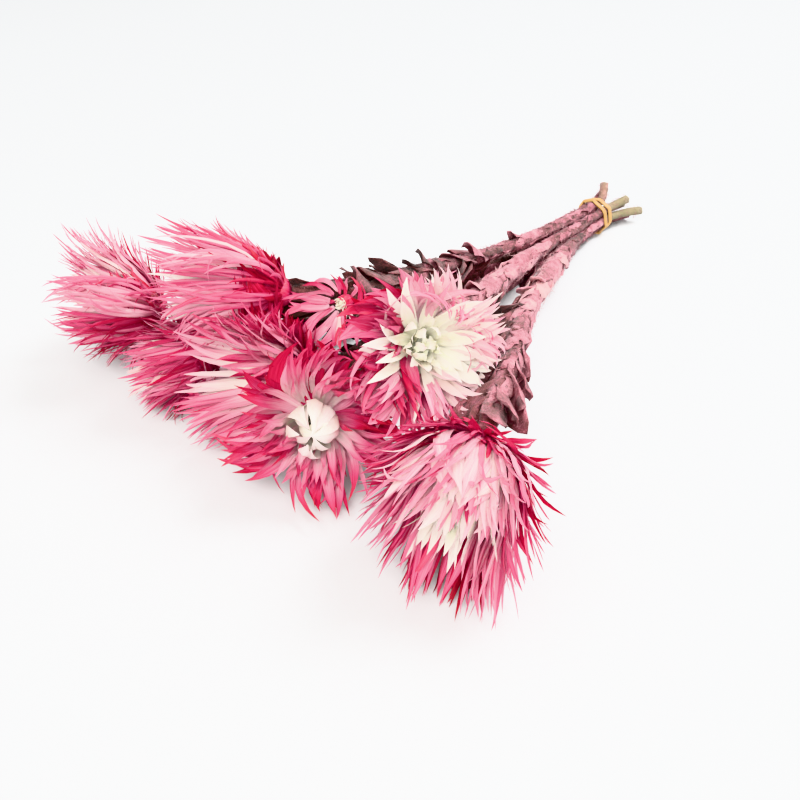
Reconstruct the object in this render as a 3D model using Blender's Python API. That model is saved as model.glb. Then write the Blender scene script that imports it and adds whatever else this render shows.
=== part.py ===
"""Dried strawflowers: eight papery everlasting heads on woolly, leafy stems, tied near their cut
ends with a rubber band and lying on a surface. Metres, +Z up. The bunch lies along Y, with its
heads towards -Y and its cut ends towards +Y, and it rests on z = 0."""

import math
import random

import bmesh
import bpy
import numpy as np
from mathutils import Vector

MM = 0.001
GAP = 0.35 * MM

# Bracts: three-cornered blades with a keel along the back.
BLADE_DEPTH = 1.0 * MM
BLADE_CUP = 0.35 * MM
LONG_STATIONS, LONG_WIDTHS = (0.0, 0.38, 0.74, 1.0), (0.6, 1.0, 0.68)
SHORT_STATIONS, SHORT_WIDTHS = (0.0, 0.5, 1.0), (0.7, 1.0)

# Stems, and the small leaves that stand off them.
STEM_SIDES = 6
STEM_RINGS = 20
STEM_RADIUS_AT_TIE = 1.95 * MM
STEM_RADIUS = 4.1 * MM
SCALE_RELIEF = 0.2
LEAF_WIDTH = 6.4 * MM
LEAF_LENGTH = 17.0 * MM
LEAF_CUP = 0.9 * MM
LEAVES = 7
LEAFY_FROM, LEAFY_TO = 0.42, 0.97
WANDER = 1.3 * MM

# The bundle at the tie: one stem in the middle and a ring of seven round it.
TIE_X = -7.0 * MM
TIE_Y = 109.3 * MM
RING_STEMS = 7
RING_RADIUS = (STEM_RADIUS_AT_TIE + GAP / 2) / math.sin(math.pi / RING_STEMS)
BAND_WIDTH = 1.9 * MM
BAND_THICKNESS = 0.9 * MM
BAND_SWING = 2.1 * MM
BAND_TURNS = 28
STRAIGHT_PAST_TIE = 3.6 * MM
TAIL_STEPS = 12
BAND_REACH = STEM_RADIUS_AT_TIE + GAP + BAND_THICKNESS
BUNDLE_HEIGHT = (RING_RADIUS * math.cos(math.pi / RING_STEMS)
                 + BAND_REACH * math.cos(math.pi / BAND_TURNS))

# Neighbours part halfway between their centres, in proportion to their reach, but for these.
# The first head has this share of the way to the second.
PARTING = {"bh": 0.84, "eh": 0.54, "ch": 0.62}

# The directions to the right and up across the view in which each head's outline is known.
VIEW_RIGHT, VIEW_UP = np.array((0.760, 0.649, 0.0)), np.array((-0.382, 0.447, 0.809))

# How far the lowest bracts reach under the surface before they are cut flat on it.
SINK = 3.0 * MM

# Each head: the middle of its mouth and the way it faces, its length from stem to mouth, its
# reach (the mouth's radius), the length of its bracts, how open it is (0 shut, 1 open), the
# blades in its rows, the ring slot of its stem (none: the middle), the tail past the tie
# (sideways, length, rise), and how far the head reaches to twelve sides across the view.
HEADS = {
    "a": dict(mouth=(80.8, -112.6, 21), facing=(0.31, -0.91, -0.29), length=38, reach=24,
              bract=52, open=0.35, rows=(7, 11, 10, 8), heart=(7, 5), slot=1,
              tail=(0.34, 19, -0.05),
              sides=(24.5, 26, 26, 22, 22, 24, 25, 29, 31, 35, 35, 27)),
    "b": dict(mouth=(49.2, -77, 52), facing=(0.66, -0.57, 0.48), length=30, reach=29,
              bract=37, open=0.85, rows=(7, 11, 11, 9), heart=(10, 7), slot=2,
              tail=(0.22, 13, 0.10),
              sides=(26, 24, 22.5, 21, 23, 25, 24, 28, 29, 26, 27, 28)),
    "c": dict(mouth=(30.2, -107.6, 30), facing=(0.60, -0.66, 0.45), length=31, reach=24,
              bract=37, open=0.75, rows=(7, 11, 10, 8), heart=(8, 5), slot=0,
              tail=(0.22, 17, -0.02),
              sides=(22, 22, 25, 24.5, 23, 26, 30, 28, 26, 27.5, 29, 26)),
    "d": dict(mouth=(-10, -100.9, 24.5), facing=(-0.08, -0.94, 0.32), length=29, reach=27,
              bract=46, open=0.72, rows=(7, 11, 10, 8), heart=(8, 4), slot=None,
              tail=(0.25, 15, 0.05),
              sides=(22, 22, 22, 23, 30, 37, 34.5, 32, 27, 22, 23, 22)),
    "e": dict(mouth=(-50.3, -86.8, 41), facing=(-0.81, -0.58, 0.05), length=37, reach=24,
              bract=48, open=0.12, rows=(9, 10, 9, 8), heart=(6, 4), slot=4,
              tail=(-0.10, 10, 0.15),
              sides=(24, 19, 16, 20.5, 27, 29, 24, 21, 18.5, 17, 22, 25)),
    "f": dict(mouth=(-87.9, -101, 25), facing=(-0.66, -0.73, 0.18), length=28, reach=20,
              bract=43, open=0.42, rows=(7, 11, 10, 8), heart=(7, 4), slot=5,
              tail=(-0.10, 9, 0.02),
              sides=(20, 20, 21, 27.5, 32, 30, 21, 19, 21, 23, 21, 20)),
    "g": dict(mouth=(-49.7, -107.6, 17), facing=(-0.30, -0.94, 0.05), length=28, reach=15,
              bract=34, open=0.3, rows=(5, 8, 7, 6), heart=(5, 3), slot=6,
              tail=(0.05, 12, 0.0),
              sides=(20, 19, 15, 13.5, 14, 16.5, 17.5, 20, 21, 22, 21, 19)),
    "h": dict(mouth=(6.3, -71.5, 47), facing=(0.18, -0.96, 0.21), length=8, reach=16,
              bract=24, inner=8, open=1.0, rows=(0, 9, 0, 0), heart=(4, 2), slot=3,
              tail=(-0.37, 8, 0.75),
              sides=(12, 12, 9, 8, 12, 16, 19, 18, 16, 13.5, 13, 13)),
}

# Rows of outer bracts, from the stem up: the angle from the head's axis at the root, past the
# middle and at the tip, when shut and when open (degrees), the length as a share of the
# bract's, the width, and the root's radius and height.
OUTER_ROWS = (
    dict(shut=(74, 58, 66), open=(92, 98, 112), length=0.34, width=4.4, radius=3.6, height=2.2,
         stations=SHORT_STATIONS, widths=SHORT_WIDTHS),
    dict(shut=(63, 15, 36), open=(78, 40, 72), length=0.9, width=5.8, radius=3.6, height=3.0,
         stations=LONG_STATIONS, widths=LONG_WIDTHS),
    dict(shut=(56, 8, 24), open=(67, 28, 54), length=1.0, width=5.6, radius=3.8, height=4.0,
         stations=LONG_STATIONS, widths=LONG_WIDTHS),
    dict(shut=(50, 4, 16), open=(58, 18, 38), length=0.97, width=5.4, radius=3.9, height=5.0,
         stations=LONG_STATIONS, widths=LONG_WIDTHS),
)
HEART_ROWS = (
    dict(shut=(30, -4, 4), open=(40, 14, 44), length=0.86, width=4.8, radius=2.4, height=8.2,
         stations=LONG_STATIONS, widths=LONG_WIDTHS),
    dict(shut=(14, -6, -4), open=(22, 2, 16), length=0.72, width=3.8, radius=1.2, height=8.8,
         stations=SHORT_STATIONS, widths=SHORT_WIDTHS),
)
BEND_AT = 0.55
CORE_PROFILE = ((0.0, 2.8), (3.0, 5.4), (6.2, 5.8))
HEART_PROFILE = ((6.55, 4.3), (8.6, 4.6), (10.4, 3.0))

BRACT_PINK = (0.62, 0.11, 0.22)
HEART_CREAM = (0.83, 0.74, 0.60)
STEM_MAUVE = (0.44, 0.26, 0.27)
BAND_OCHRE = (0.72, 0.42, 0.08)


def material(name, colour, roughness):
    made = bpy.data.materials.new(name)
    made.use_nodes = True
    shader = made.node_tree.nodes["Principled BSDF"]
    shader.inputs["Base Color"].default_value = (*colour, 1.0)
    shader.inputs["Roughness"].default_value = roughness
    made.diffuse_color = (*colour, 1.0)
    return made


def mesh_object(name, points, faces, shader=None):
    """A closed mesh with its faces turned outwards."""
    mesh = bpy.data.meshes.new(name)
    mesh.from_pydata([tuple(p) for p in points], [], faces)
    bm = bmesh.new()
    bm.from_mesh(mesh)
    bmesh.ops.recalc_face_normals(bm, faces=bm.faces)
    if bm.calc_volume(signed=True) < 0:
        bmesh.ops.reverse_faces(bm, faces=bm.faces)
    bm.to_mesh(mesh)
    bm.free()
    if shader:
        mesh.materials.append(shader)
    made = bpy.data.objects.new(name, mesh)
    bpy.context.scene.collection.objects.link(made)
    return made


def apply_boolean(target, operation, collection):
    """One Boolean of the target with everything in the collection, which is then removed."""
    join = target.modifiers.new("join", "BOOLEAN")
    join.operation = operation
    join.operand_type = "COLLECTION"
    join.collection = collection
    join.solver = "MANIFOLD"
    evaluated = target.evaluated_get(bpy.context.evaluated_depsgraph_get())
    result = bpy.data.meshes.new_from_object(evaluated)
    target.modifiers.remove(join)
    target.data = result
    for piece in list(collection.objects):
        bpy.data.objects.remove(piece)
    bpy.data.collections.remove(collection)


def fused(base, pieces, operation="UNION"):
    collection = bpy.data.collections.new(base.name + "_pieces")
    bpy.context.scene.collection.children.link(collection)
    for piece in pieces:
        bpy.context.scene.collection.objects.unlink(piece)
        collection.objects.link(piece)
    apply_boolean(base, operation, collection)
    return base


def keep_largest(target):
    """Drops the loose scraps that a cut leaves."""
    bm = bmesh.new()
    bm.from_mesh(target.data)
    left, groups = set(bm.verts), []
    while left:
        seed = left.pop()
        group, edge = {seed}, [seed]
        while edge:
            for link in edge.pop().link_edges:
                for vert in link.verts:
                    if vert in left:
                        left.discard(vert)
                        group.add(vert)
                        edge.append(vert)
        groups.append(group)
    groups.sort(key=len)
    for group in groups[:-1]:
        bmesh.ops.delete(bm, geom=list(group), context="VERTS")
    bm.to_mesh(target.data)
    bm.free()


def ring_faces(rings, sides):
    """Faces of a tube: both caps and the walls between the rings."""
    faces = [tuple(range(sides))[::-1], tuple((rings - 1) * sides + k for k in range(sides))]
    for ring in range(rings - 1):
        for k in range(sides):
            a, b = ring * sides + k, ring * sides + (k + 1) % sides
            faces.append((a, b, b + sides))
            faces.append((a, b + sides, a + sides))
    return faces


class Frame:
    """A head's own frame: its base, its axis and two directions across it."""

    def __init__(self, spec):
        self.axis = np.array(Vector(spec["facing"]).normalized())
        self.side = np.cross(self.axis, (0.0, 0.0, 1.0))
        self.side /= np.linalg.norm(self.side)
        self.up = np.cross(self.side, self.axis)
        mouth = np.array(spec["mouth"]) * MM
        self.base = mouth - self.axis * spec["length"] * MM
        self.centre = mouth - self.axis * spec["length"] * MM * 0.45

    def place(self, out, along, height):
        """A point `out` from the axis along the unit direction `along`, at this height."""
        return self.base + along * out + self.axis * height

    def around(self, angle):
        return self.side * math.cos(angle) + self.up * math.sin(angle)


def hermite(start, start_pull, end, end_pull, steps):
    t = np.linspace(0.0, 1.0, steps)[:, None]
    return ((2 * t**3 - 3 * t**2 + 1) * start + (t**3 - 2 * t**2 + t) * start_pull
            + (-2 * t**3 + 3 * t**2) * end + (t**3 - t**2) * end_pull)


def stem_slot(spec):
    """Where a stem passes through the tie."""
    if spec["slot"] is None:
        return np.array((TIE_X, TIE_Y, BUNDLE_HEIGHT))
    turn = math.tau * (spec["slot"] + 0.5) / RING_STEMS - math.pi / 2
    return np.array((TIE_X + RING_RADIUS * math.cos(turn), TIE_Y,
                     BUNDLE_HEIGHT + RING_RADIUS * math.sin(turn)))


def stem_route(letter, frame, steps=90):
    """The stem's middle line, from its cut end through its slot in the tie to its head. It
    wanders a little, as a dried stem does."""
    spec = HEADS[letter]
    draw = random.Random("route " + letter)
    slot = stem_slot(spec)
    splay, tail, rise = spec["tail"]
    onward = slot + np.array((0, STRAIGHT_PAST_TIE, 0))
    cut = onward + np.array((splay, 1.0, rise)) * tail * MM
    end = frame.base - frame.axis * GAP
    reach = np.linalg.norm(end - slot)
    tail_line = hermite(onward, np.array((0, 1.0, 0)) * tail * MM, cut,
                        np.array((1.6 * splay, 1.0, 1.6 * rise)) * tail * MM, TAIL_STEPS)[::-1]
    body = hermite(slot, np.array((0, -1.0, 0)) * reach * 0.9,
                   end, frame.axis * reach * spec.get("neck", 0.45), steps)
    t = np.linspace(0.0, 1.0, steps)
    window = (t * (1 - t) * 4) ** 2
    for axis in (0, 2):
        wave = np.sin(math.tau * (draw.uniform(1.6, 2.4) * t + draw.uniform(0, 1)))
        body[:, axis] += WANDER * window * wave
    return np.vstack((tail_line, body))


def along_route(route):
    """Each point's share of the way from the tie (0) to the head (1), below 0 in the tail."""
    step = np.linalg.norm(np.diff(route, axis=0), axis=1)
    length = np.concatenate(((0.0,), np.cumsum(step)))
    tie = length[TAIL_STEPS]
    return (length - tie) / (length[-1] - tie)


def target_radius(share):
    """A stem thickens from the tie, where the band presses it, to its leafy upper part."""
    share = np.asarray(share)
    grow = np.clip(share / 0.38, 0.0, 1.0)
    grow = grow * grow * (3 - 2 * grow)
    tail = np.clip(-share / 0.06, 0.0, 1.0)
    neck = np.clip((share - 0.9) / 0.1, 0.0, 1.0)
    radius = STEM_RADIUS_AT_TIE + (STEM_RADIUS - STEM_RADIUS_AT_TIE) * grow
    return radius - 1.0 * MM * neck + 0.25 * MM * tail


def limited_radii(routes):
    """Each stem's radius along its route, kept under half the way to its neighbours."""
    radii = {}
    for name, route in routes.items():
        others = np.vstack([r for n, r in routes.items() if n != name])
        away = np.linalg.norm(route[:, None] - others[None], axis=2).min(axis=1)
        floor = route[:, 2]
        radii[name] = np.minimum.reduce((target_radius(along_route(route)),
                                         away / 2 - 0.18 * MM, floor))
    return radii


def head_cells(frames, routes, radii):
    """For each head, the planes that part it from its neighbours, the stems and the ground."""
    cells = {}
    for name, frame in frames.items():
        normals, limits = [np.array((0.0, 0.0, -1.0))], [frame.centre[2] + SINK]
        for k, room in enumerate(HEADS[name]["sides"]):
            turn = math.tau * k / len(HEADS[name]["sides"])
            normals.append(VIEW_RIGHT * math.cos(turn) + VIEW_UP * math.sin(turn))
            limits.append(room * MM)
        reach = HEADS[name]["reach"] * MM
        for other, theirs in frames.items():
            if other == name:
                continue
            across = theirs.centre - frame.centre
            distance = np.linalg.norm(across)
            share = reach / (reach + HEADS[other]["reach"] * MM)
            share = PARTING.get(name + other, 1 - PARTING.get(other + name, 1 - share))
            if distance * share < reach * 1.25:
                normals.append(across / distance)
                limits.append(distance * share - GAP / 2)
        for other, route in routes.items():
            if other == name:
                continue
            toward = route - frame.centre
            distance = np.linalg.norm(toward, axis=1)
            room = radii[other] + GAP
            near = distance < reach * 1.25 + room
            while near.any():
                reached = toward @ np.array(normals).T - np.array(limits)
                inside = near & (reached.max(axis=1) < room)
                if not inside.any():
                    break
                worst = np.where(inside, distance - room, np.inf).argmin()
                normals.append(toward[worst] / distance[worst])
                limits.append(distance[worst] - room[worst])
                near[worst] = False
        cells[name] = (np.array(normals), np.array(limits))
    return cells


def squeezed(points, centre, cell, margin, knee):
    """Draws points that lie far out towards the centre, so none passes the cell's planes."""
    normals, limits = cell
    points = np.atleast_2d(points)
    away = points - centre
    distance = np.linalg.norm(away, axis=1)
    towards = away / np.maximum(distance, 1e-9)[:, None]
    facing = np.maximum(towards @ normals.T, 1e-6)
    wall = ((limits - margin)[None] / facing).min(axis=1)
    share = distance / wall
    soft = knee + (1 - knee) * (1 - np.exp(-np.maximum(share - knee, 0.0) / (1 - knee)))
    share = np.where(share > knee, soft, share)
    return centre + towards * (share * wall)[:, None]


def arc(frame, along, row, angles, length, shares):
    """Points of a bract's middle line and its slant there. The slant from the head's axis goes
    from the first angle to the second at BEND_AT, then to the third at the tip."""
    fine = np.linspace(0.0, 1.0, 41)
    slant = np.interp(fine, (0.0, BEND_AT, 1.0), angles)
    step = length / 40
    middle = (slant[1:] + slant[:-1]) / 2
    out = row["radius"] * MM + np.concatenate(((0.0,), np.cumsum(np.sin(middle)))) * step
    height = row["height"] * MM + np.concatenate(((0.0,), np.cumsum(np.cos(middle)))) * step
    line = [frame.place(np.interp(s, fine, out), along, np.interp(s, fine, height))
            for s in shares]
    return np.array(line), np.interp(shares, fine, slant)


def blade_mesh(line, across, back, width, widths, cup=BLADE_CUP):
    """A pointed blade round its middle line: two edges and a keel at each station, one tip."""
    points = []
    for k in range(len(line) - 1):
        before, after = line[max(k - 1, 0)], line[k + 1]
        tangent = (after - before) / np.linalg.norm(after - before)
        side = across - tangent * across.dot(tangent)
        side /= np.linalg.norm(side)
        keel = np.cross(tangent, side)
        if keel.dot(back[k]) < 0:
            keel = -keel
        half = width * widths[k] / 2
        points.append(line[k] + side * half - keel * cup)
        points.append(line[k] - side * half - keel * cup)
        points.append(line[k] + keel * (BLADE_DEPTH - BLADE_CUP))
    points.append(line[-1])
    rings = len(line) - 1
    faces = ring_faces(rings, 3)
    faces.pop(1)
    last = (rings - 1) * 3
    faces += [(last + k, last + (k + 1) % 3, rings * 3) for k in range(3)]
    return np.array(points), faces


def lathe(name, frame, profile, sides, cell, shader=None):
    points = []
    for height, radius in profile:
        for k in range(sides):
            along = frame.around(math.tau * k / sides)
            points.append(frame.place(radius * MM, along, height * MM))
    points = squeezed(points, frame.centre, cell, 0.0, 0.9)
    return mesh_object(name, points, ring_faces(len(profile), sides), shader)


def bracts(name, spec, bract, frame, rows, counts, cell, draw, sway):
    """The blades of some rows of a head, each its own closed mesh."""
    made = []
    for level, (row, count) in enumerate(zip(rows, counts)):
        shares = np.array(row["stations"])
        for k in range(count):
            angle = math.tau * (k + 0.5 * (level % 2) + draw.uniform(-0.22, 0.22)) / count
            along = frame.around(angle)
            lean = draw.uniform(-sway, sway)
            angles = [math.radians(s + (o - s) * spec["open"] + lean)
                      for s, o in zip(row["shut"], row["open"])]
            length = bract * MM * row["length"] * draw.uniform(0.9, 1.06)
            line, slant = arc(frame, along, row, angles, length, shares)
            line = squeezed(line, frame.centre, cell, 1.2 * MM, 0.75)
            back = along * np.cos(slant)[:, None] - frame.axis * np.sin(slant)[:, None]
            across = np.cross(frame.axis, along) + frame.axis * draw.uniform(-0.3, 0.3)
            points, faces = blade_mesh(line, across, back, row["width"] * MM,
                                       row["widths"])
            points = squeezed(points, frame.centre, cell, 0.0, 0.93)
            made.append(mesh_object(f"{name}_{level}_{k}", points, faces))
    return made


def cut_on_ground(target):
    """Cuts what reaches under z = 0 flat, where the head rests."""
    if min(v.co.z for v in target.data.vertices) < 0:
        bm = bmesh.new()
        bmesh.ops.create_cube(bm, size=0.2)
        bmesh.ops.translate(bm, verts=bm.verts, vec=(*target.data.vertices[0].co.xy, -0.1))
        mesh = bpy.data.meshes.new("ground")
        bm.to_mesh(mesh)
        bm.free()
        ground = bpy.data.objects.new("ground", mesh)
        bpy.context.scene.collection.objects.link(ground)
        fused(target, [ground], "DIFFERENCE")
        keep_largest(target)


def head(letter, spec, frame, cell, shaders):
    draw = random.Random("bloom " + letter)
    outer = lathe(f"bloom_{letter}_bracts", frame, CORE_PROFILE, 9, cell, shaders["bracts"])
    fused(outer, bracts(outer.name, spec, spec["bract"], frame, OUTER_ROWS, spec["rows"], cell,
                        draw, 4))
    cut_on_ground(outer)
    heart = lathe(f"bloom_{letter}_heart", frame, HEART_PROFILE, 8, cell, shaders["heart"])
    fused(heart, bracts(heart.name, spec, spec.get("inner", spec["bract"]), frame, HEART_ROWS,
                        spec["heart"], cell, draw, 2))
    return outer, heart


def stem_tube(name, route, radius, shader):
    """A felted stem with a relief of small leaves that lie against it."""
    share = along_route(route)
    straight = share[TAIL_STEPS - 1]
    marks = np.concatenate(((share[0], (share[0] + straight) / 2, straight),
                            np.linspace(0.0, 0.955, STEM_RINGS - 2), (0.985, 1.0)))
    centre = np.stack([np.interp(marks, share, route[:, k]) for k in range(3)], axis=1)
    thick = np.interp(marks, share, radius)
    side = np.array((1.0, 0.0, 0.0))
    points = []
    for ring in range(len(marks)):
        before, after = centre[max(ring - 1, 0)], centre[min(ring + 1, len(marks) - 1)]
        tangent = (after - before) / np.linalg.norm(after - before)
        side = side - tangent * side.dot(tangent)
        side /= np.linalg.norm(side)
        up = np.cross(tangent, side)
        leafy = min(max((marks[ring] - 0.2) / 0.2, 0.0), 1.0)
        for k in range(STEM_SIDES):
            r = thick[ring] * (1 - SCALE_RELIEF * leafy * ((ring + k) % 2))
            turn = math.tau * k / STEM_SIDES
            points.append(centre[ring] + (side * math.cos(turn) + up * math.sin(turn)) * r)
    return mesh_object(name, points, ring_faces(len(marks), STEM_SIDES), shader)


def leaf_line(route, radius, share, turn, length, spread, shares):
    """A small leaf's middle line: it leaves the stem and curls away from it, then back."""
    at = along_route(route)
    root = np.array([np.interp(share, at, route[:, k]) for k in range(3)])
    ahead = np.array([np.interp(share + 0.02, at, route[:, k]) for k in range(3)])
    tangent = (ahead - root) / np.linalg.norm(ahead - root)
    side = np.cross(tangent, (0.0, 0.0, 1.0))
    side /= np.linalg.norm(side)
    out = side * math.cos(turn) + np.cross(side, tangent) * math.sin(turn)
    r = float(np.interp(share, at, radius))
    slant = spread * (0.35 + 1.1 * shares - 0.75 * shares**2)
    step = length * np.diff(shares, prepend=0.0)
    along = np.cumsum(np.cos(slant) * step)
    away = r * 0.45 + np.cumsum(np.sin(slant) * step)
    line = root + tangent * along[:, None] + out * away[:, None]
    back = out * np.cos(slant)[:, None] - tangent * np.sin(slant)[:, None]
    return line, back, np.cross(tangent, out)


def clear_of(points, letter, routes, radii, frames, taken):
    """Whether a leaf stays clear of the other stems, every head, the ground and other leaves."""
    if points[:, 2].min() < 1.6 * MM:
        return False
    for other, route in routes.items():
        away = np.linalg.norm(points[:, None] - route[None], axis=2) - radii[other]
        if other != letter and away.min() < 2.6 * MM:
            return False
    for other, frame in frames.items():
        spec = HEADS[other]
        height = (points - frame.base) @ frame.axis
        out = np.linalg.norm(points - frame.base - height[:, None] * frame.axis, axis=1)
        margin = 3.0 * MM if other == letter else 5.0 * MM
        wide = spec["reach"] * MM * np.clip(0.55 + height / (spec["bract"] * MM), 0.0, 1.1)
        inside = (height > -margin) & (height < spec["bract"] * MM + margin)
        if (inside & (out < wide + margin)).any():
            return False
    return not any(np.linalg.norm(points[:, None] - other[None], axis=2).min() < 4.5 * MM
                   for owner, other in taken if owner != letter)


def stem(letter, routes, radii, frames, taken, shader):
    """A leafy stem: its tube and the leaves that find room to stand off it."""
    route, radius = routes[letter], radii[letter]
    tube = stem_tube(f"stem_{letter}", route, radius, shader)
    draw = random.Random("stem " + letter)
    shares = np.array((0.0, 0.35, 0.7, 1.0))
    leaves = []
    turn = draw.uniform(0.0, math.tau)
    for k in range(48):
        share = LEAFY_FROM + (LEAFY_TO - LEAFY_FROM) * (k * 0.618 % 1.0)
        turn += 2.4
        length = LEAF_LENGTH * draw.uniform(0.7, 1.1)
        spread = math.radians(draw.uniform(24, 48))
        line, back, across = leaf_line(route, radius, share, turn, length, spread, shares)
        if len(leaves) < LEAVES and clear_of(line[1:], letter, routes, radii, frames, taken):
            points, faces = blade_mesh(line, across, back, LEAF_WIDTH, (0.6, 1.0, 0.85),
                                       LEAF_CUP)
            leaves.append(mesh_object(f"leaf_{letter}_{len(leaves)}", points, faces))
            taken.append((letter, line))
    return fused(tube, leaves) if leaves else tube


def band(shader):
    """A rubber band wound twice round the bundle, its two strands crossing."""
    slots = np.array([stem_slot(spec) for spec in HEADS.values()])
    strands = []
    for way in (1, -1):
        points = []
        for k in range(BAND_TURNS):
            angle = math.tau * (k + 0.5) / BAND_TURNS
            out = np.array((math.cos(angle), 0.0, math.sin(angle)))
            corner = slots[(slots @ out).argmax()]
            y = way * BAND_SWING * math.cos(angle - 0.6)
            for inward, wide in ((1, -1), (1, 1), (0, 1), (0, -1)):
                place = corner + out * (BAND_REACH - inward * BAND_THICKNESS)
                points.append(place + np.array((0.0, y + wide * BAND_WIDTH / 2, 0.0)))
        faces = []
        for k in range(BAND_TURNS):
            for s in range(4):
                a, b = k * 4 + s, k * 4 + (s + 1) % 4
                c, d = (a + 4) % (BAND_TURNS * 4), (b + 4) % (BAND_TURNS * 4)
                faces += [(a, b, d), (a, d, c)]
        strands.append(mesh_object(f"strand_{way}", points, faces, shader))
    strands[0].name = "tie"
    return fused(strands[0], strands[1:])


def main():
    for old in list(bpy.data.objects):
        bpy.data.objects.remove(old)
    shaders = {
        "bracts": material("pink_bracts", BRACT_PINK, 0.55),
        "heart": material("cream_bracts", HEART_CREAM, 0.5),
        "stem": material("felted_stem", STEM_MAUVE, 0.9),
        "band": material("rubber_band", BAND_OCHRE, 0.6),
    }
    frames = {name: Frame(spec) for name, spec in HEADS.items()}
    routes = {name: stem_route(name, frame) for name, frame in frames.items()}
    radii = limited_radii(routes)
    cells = head_cells(frames, routes, radii)
    taken = []
    for name, spec in HEADS.items():
        head(name, spec, frames[name], cells[name], shaders)
        stem(name, routes, radii, frames, taken, shaders["stem"])
    band(shaders["band"])


main()
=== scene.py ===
# %% [markdown]
# # Dried strawflowers, tied and laid down
#
# The object is a small bunch of dried and dyed everlasting flowers. Eight papery heads sit on
# woolly, leafy stems, and a rubber band holds the stems near their cut ends.
#
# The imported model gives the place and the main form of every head, stem and of the band. This
# lesson replaces each of them with finer work: hundreds of thin bracts to a head, small felted
# leaves and wool on the stems, and a soft round-edged band. Everything grows from the same
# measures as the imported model, so each finished piece lies where its solid lies.

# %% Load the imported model
import math
import random

import bmesh
import bpy
import numpy as np
from mathutils import Matrix, Vector


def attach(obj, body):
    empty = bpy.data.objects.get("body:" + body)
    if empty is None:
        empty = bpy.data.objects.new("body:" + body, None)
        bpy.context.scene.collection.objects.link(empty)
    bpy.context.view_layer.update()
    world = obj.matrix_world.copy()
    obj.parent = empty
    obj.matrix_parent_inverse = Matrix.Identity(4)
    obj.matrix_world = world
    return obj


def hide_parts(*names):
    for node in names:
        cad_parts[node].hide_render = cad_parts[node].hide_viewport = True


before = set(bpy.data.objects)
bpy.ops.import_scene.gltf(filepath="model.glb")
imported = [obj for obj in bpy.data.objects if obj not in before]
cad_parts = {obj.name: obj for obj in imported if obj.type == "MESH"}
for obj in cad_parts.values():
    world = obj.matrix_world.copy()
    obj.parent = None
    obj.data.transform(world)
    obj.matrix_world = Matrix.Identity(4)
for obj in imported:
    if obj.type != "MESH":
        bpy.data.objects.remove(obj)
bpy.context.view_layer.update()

# %% [markdown]
# ## Where everything lies
#
# A bunch is easiest to describe from its heads. For each head we note the middle of its mouth
# and the way it faces, and how long, wide and open it is. The stem then follows by itself: it
# leaves the head, passes its own place in the tied bundle, and ends in a short tail.
#
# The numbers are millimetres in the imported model's own frame. The heads lie towards -Y and the
# cut ends towards +Y, and the surface is at z = 0. A tail is given by how far it leans sideways,
# its length and its rise.
#
# A head's outline is never round. So each head also has twelve reaches, its sides, measured from
# its middle every 30 degrees as the camera sees it, starting to the right and going up. They
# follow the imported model, and are a little longer where heads meet, because there thin bracts
# slip between each other. Two neighbours normally part in proportion to their reach. PARTING
# holds the three pairs that don't, with the first head's share of the way, and MINGLE is how far
# a head may grow past that plane.

# %% The heads and the tie in numbers
MM = 0.001
GAP = 0.35 * MM
SINK = 3.0 * MM
MINGLE = 5.0 * MM
HEADS = {
    "a": dict(mouth=(80.8, -112.6, 21), facing=(0.31, -0.91, -0.29), length=38, reach=24,
              bract=52, open=0.35, slot=1, tail=(0.34, 19, -0.05),
              sides=(24.5, 26, 26, 26, 27, 28, 27, 29, 31, 35, 35, 27)),
    "b": dict(mouth=(49.2, -77, 52), facing=(0.66, -0.57, 0.48), length=30, reach=29,
              bract=37, open=0.85, slot=2, tail=(0.22, 13, 0.10),
              sides=(26, 24, 22.5, 21, 23, 25, 25, 33, 34, 31, 28, 28)),
    "c": dict(mouth=(30.2, -107.6, 30), facing=(0.60, -0.66, 0.45), length=31, reach=24,
              bract=37, open=0.75, slot=0, tail=(0.22, 17, -0.02),
              sides=(27, 26, 26, 25, 23, 26, 30, 28, 26, 27.5, 29, 28)),
    "d": dict(mouth=(-10, -100.9, 24.5), facing=(-0.08, -0.94, 0.32), length=29, reach=27,
              bract=46, open=0.72, slot=None, tail=(0.25, 15, 0.05),
              sides=(23, 23, 24, 25, 31, 37, 34.5, 32, 28, 23, 23, 23)),
    "e": dict(mouth=(-50.3, -86.8, 41), facing=(-0.81, -0.58, 0.05), length=37, reach=24,
              bract=48, open=0.12, slot=4, tail=(-0.10, 10, 0.15),
              sides=(25, 19, 16, 20.5, 27, 29, 26, 26, 25, 23, 26, 27)),
    "f": dict(mouth=(-87.9, -101, 25), facing=(-0.66, -0.73, 0.18), length=28, reach=20,
              bract=43, open=0.42, slot=5, tail=(-0.10, 9, 0.02),
              sides=(26, 26, 23, 27.5, 32, 30, 21, 19, 21, 24, 26, 26)),
    "g": dict(mouth=(-49.7, -107.6, 17), facing=(-0.30, -0.94, 0.05), length=28, reach=15,
              bract=34, open=0.3, slot=6, tail=(0.05, 12, 0.0),
              sides=(22, 22, 19, 18, 17, 16.5, 17.5, 20, 21, 22, 22, 22)),
    "h": dict(mouth=(6.3, -71.5, 47), facing=(0.18, -0.96, 0.21), length=8, reach=16,
              bract=24, open=1.0, slot=3, tail=(-0.37, 8, 0.75),
              sides=(13, 12, 9, 8, 12, 17, 21, 21, 19, 16, 15, 14)),
}
PARTING = {"bh": 0.84, "eh": 0.54, "ch": 0.62}
VIEW_RIGHT, VIEW_UP = np.array((0.760, 0.649, 0.0)), np.array((-0.382, 0.447, 0.809))
STEM_RADIUS_AT_TIE = 1.95 * MM
STEM_RADIUS = 4.1 * MM
WANDER = 1.3 * MM
TIE_X, TIE_Y = -7.0 * MM, 109.3 * MM
RING_STEMS = 7
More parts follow.
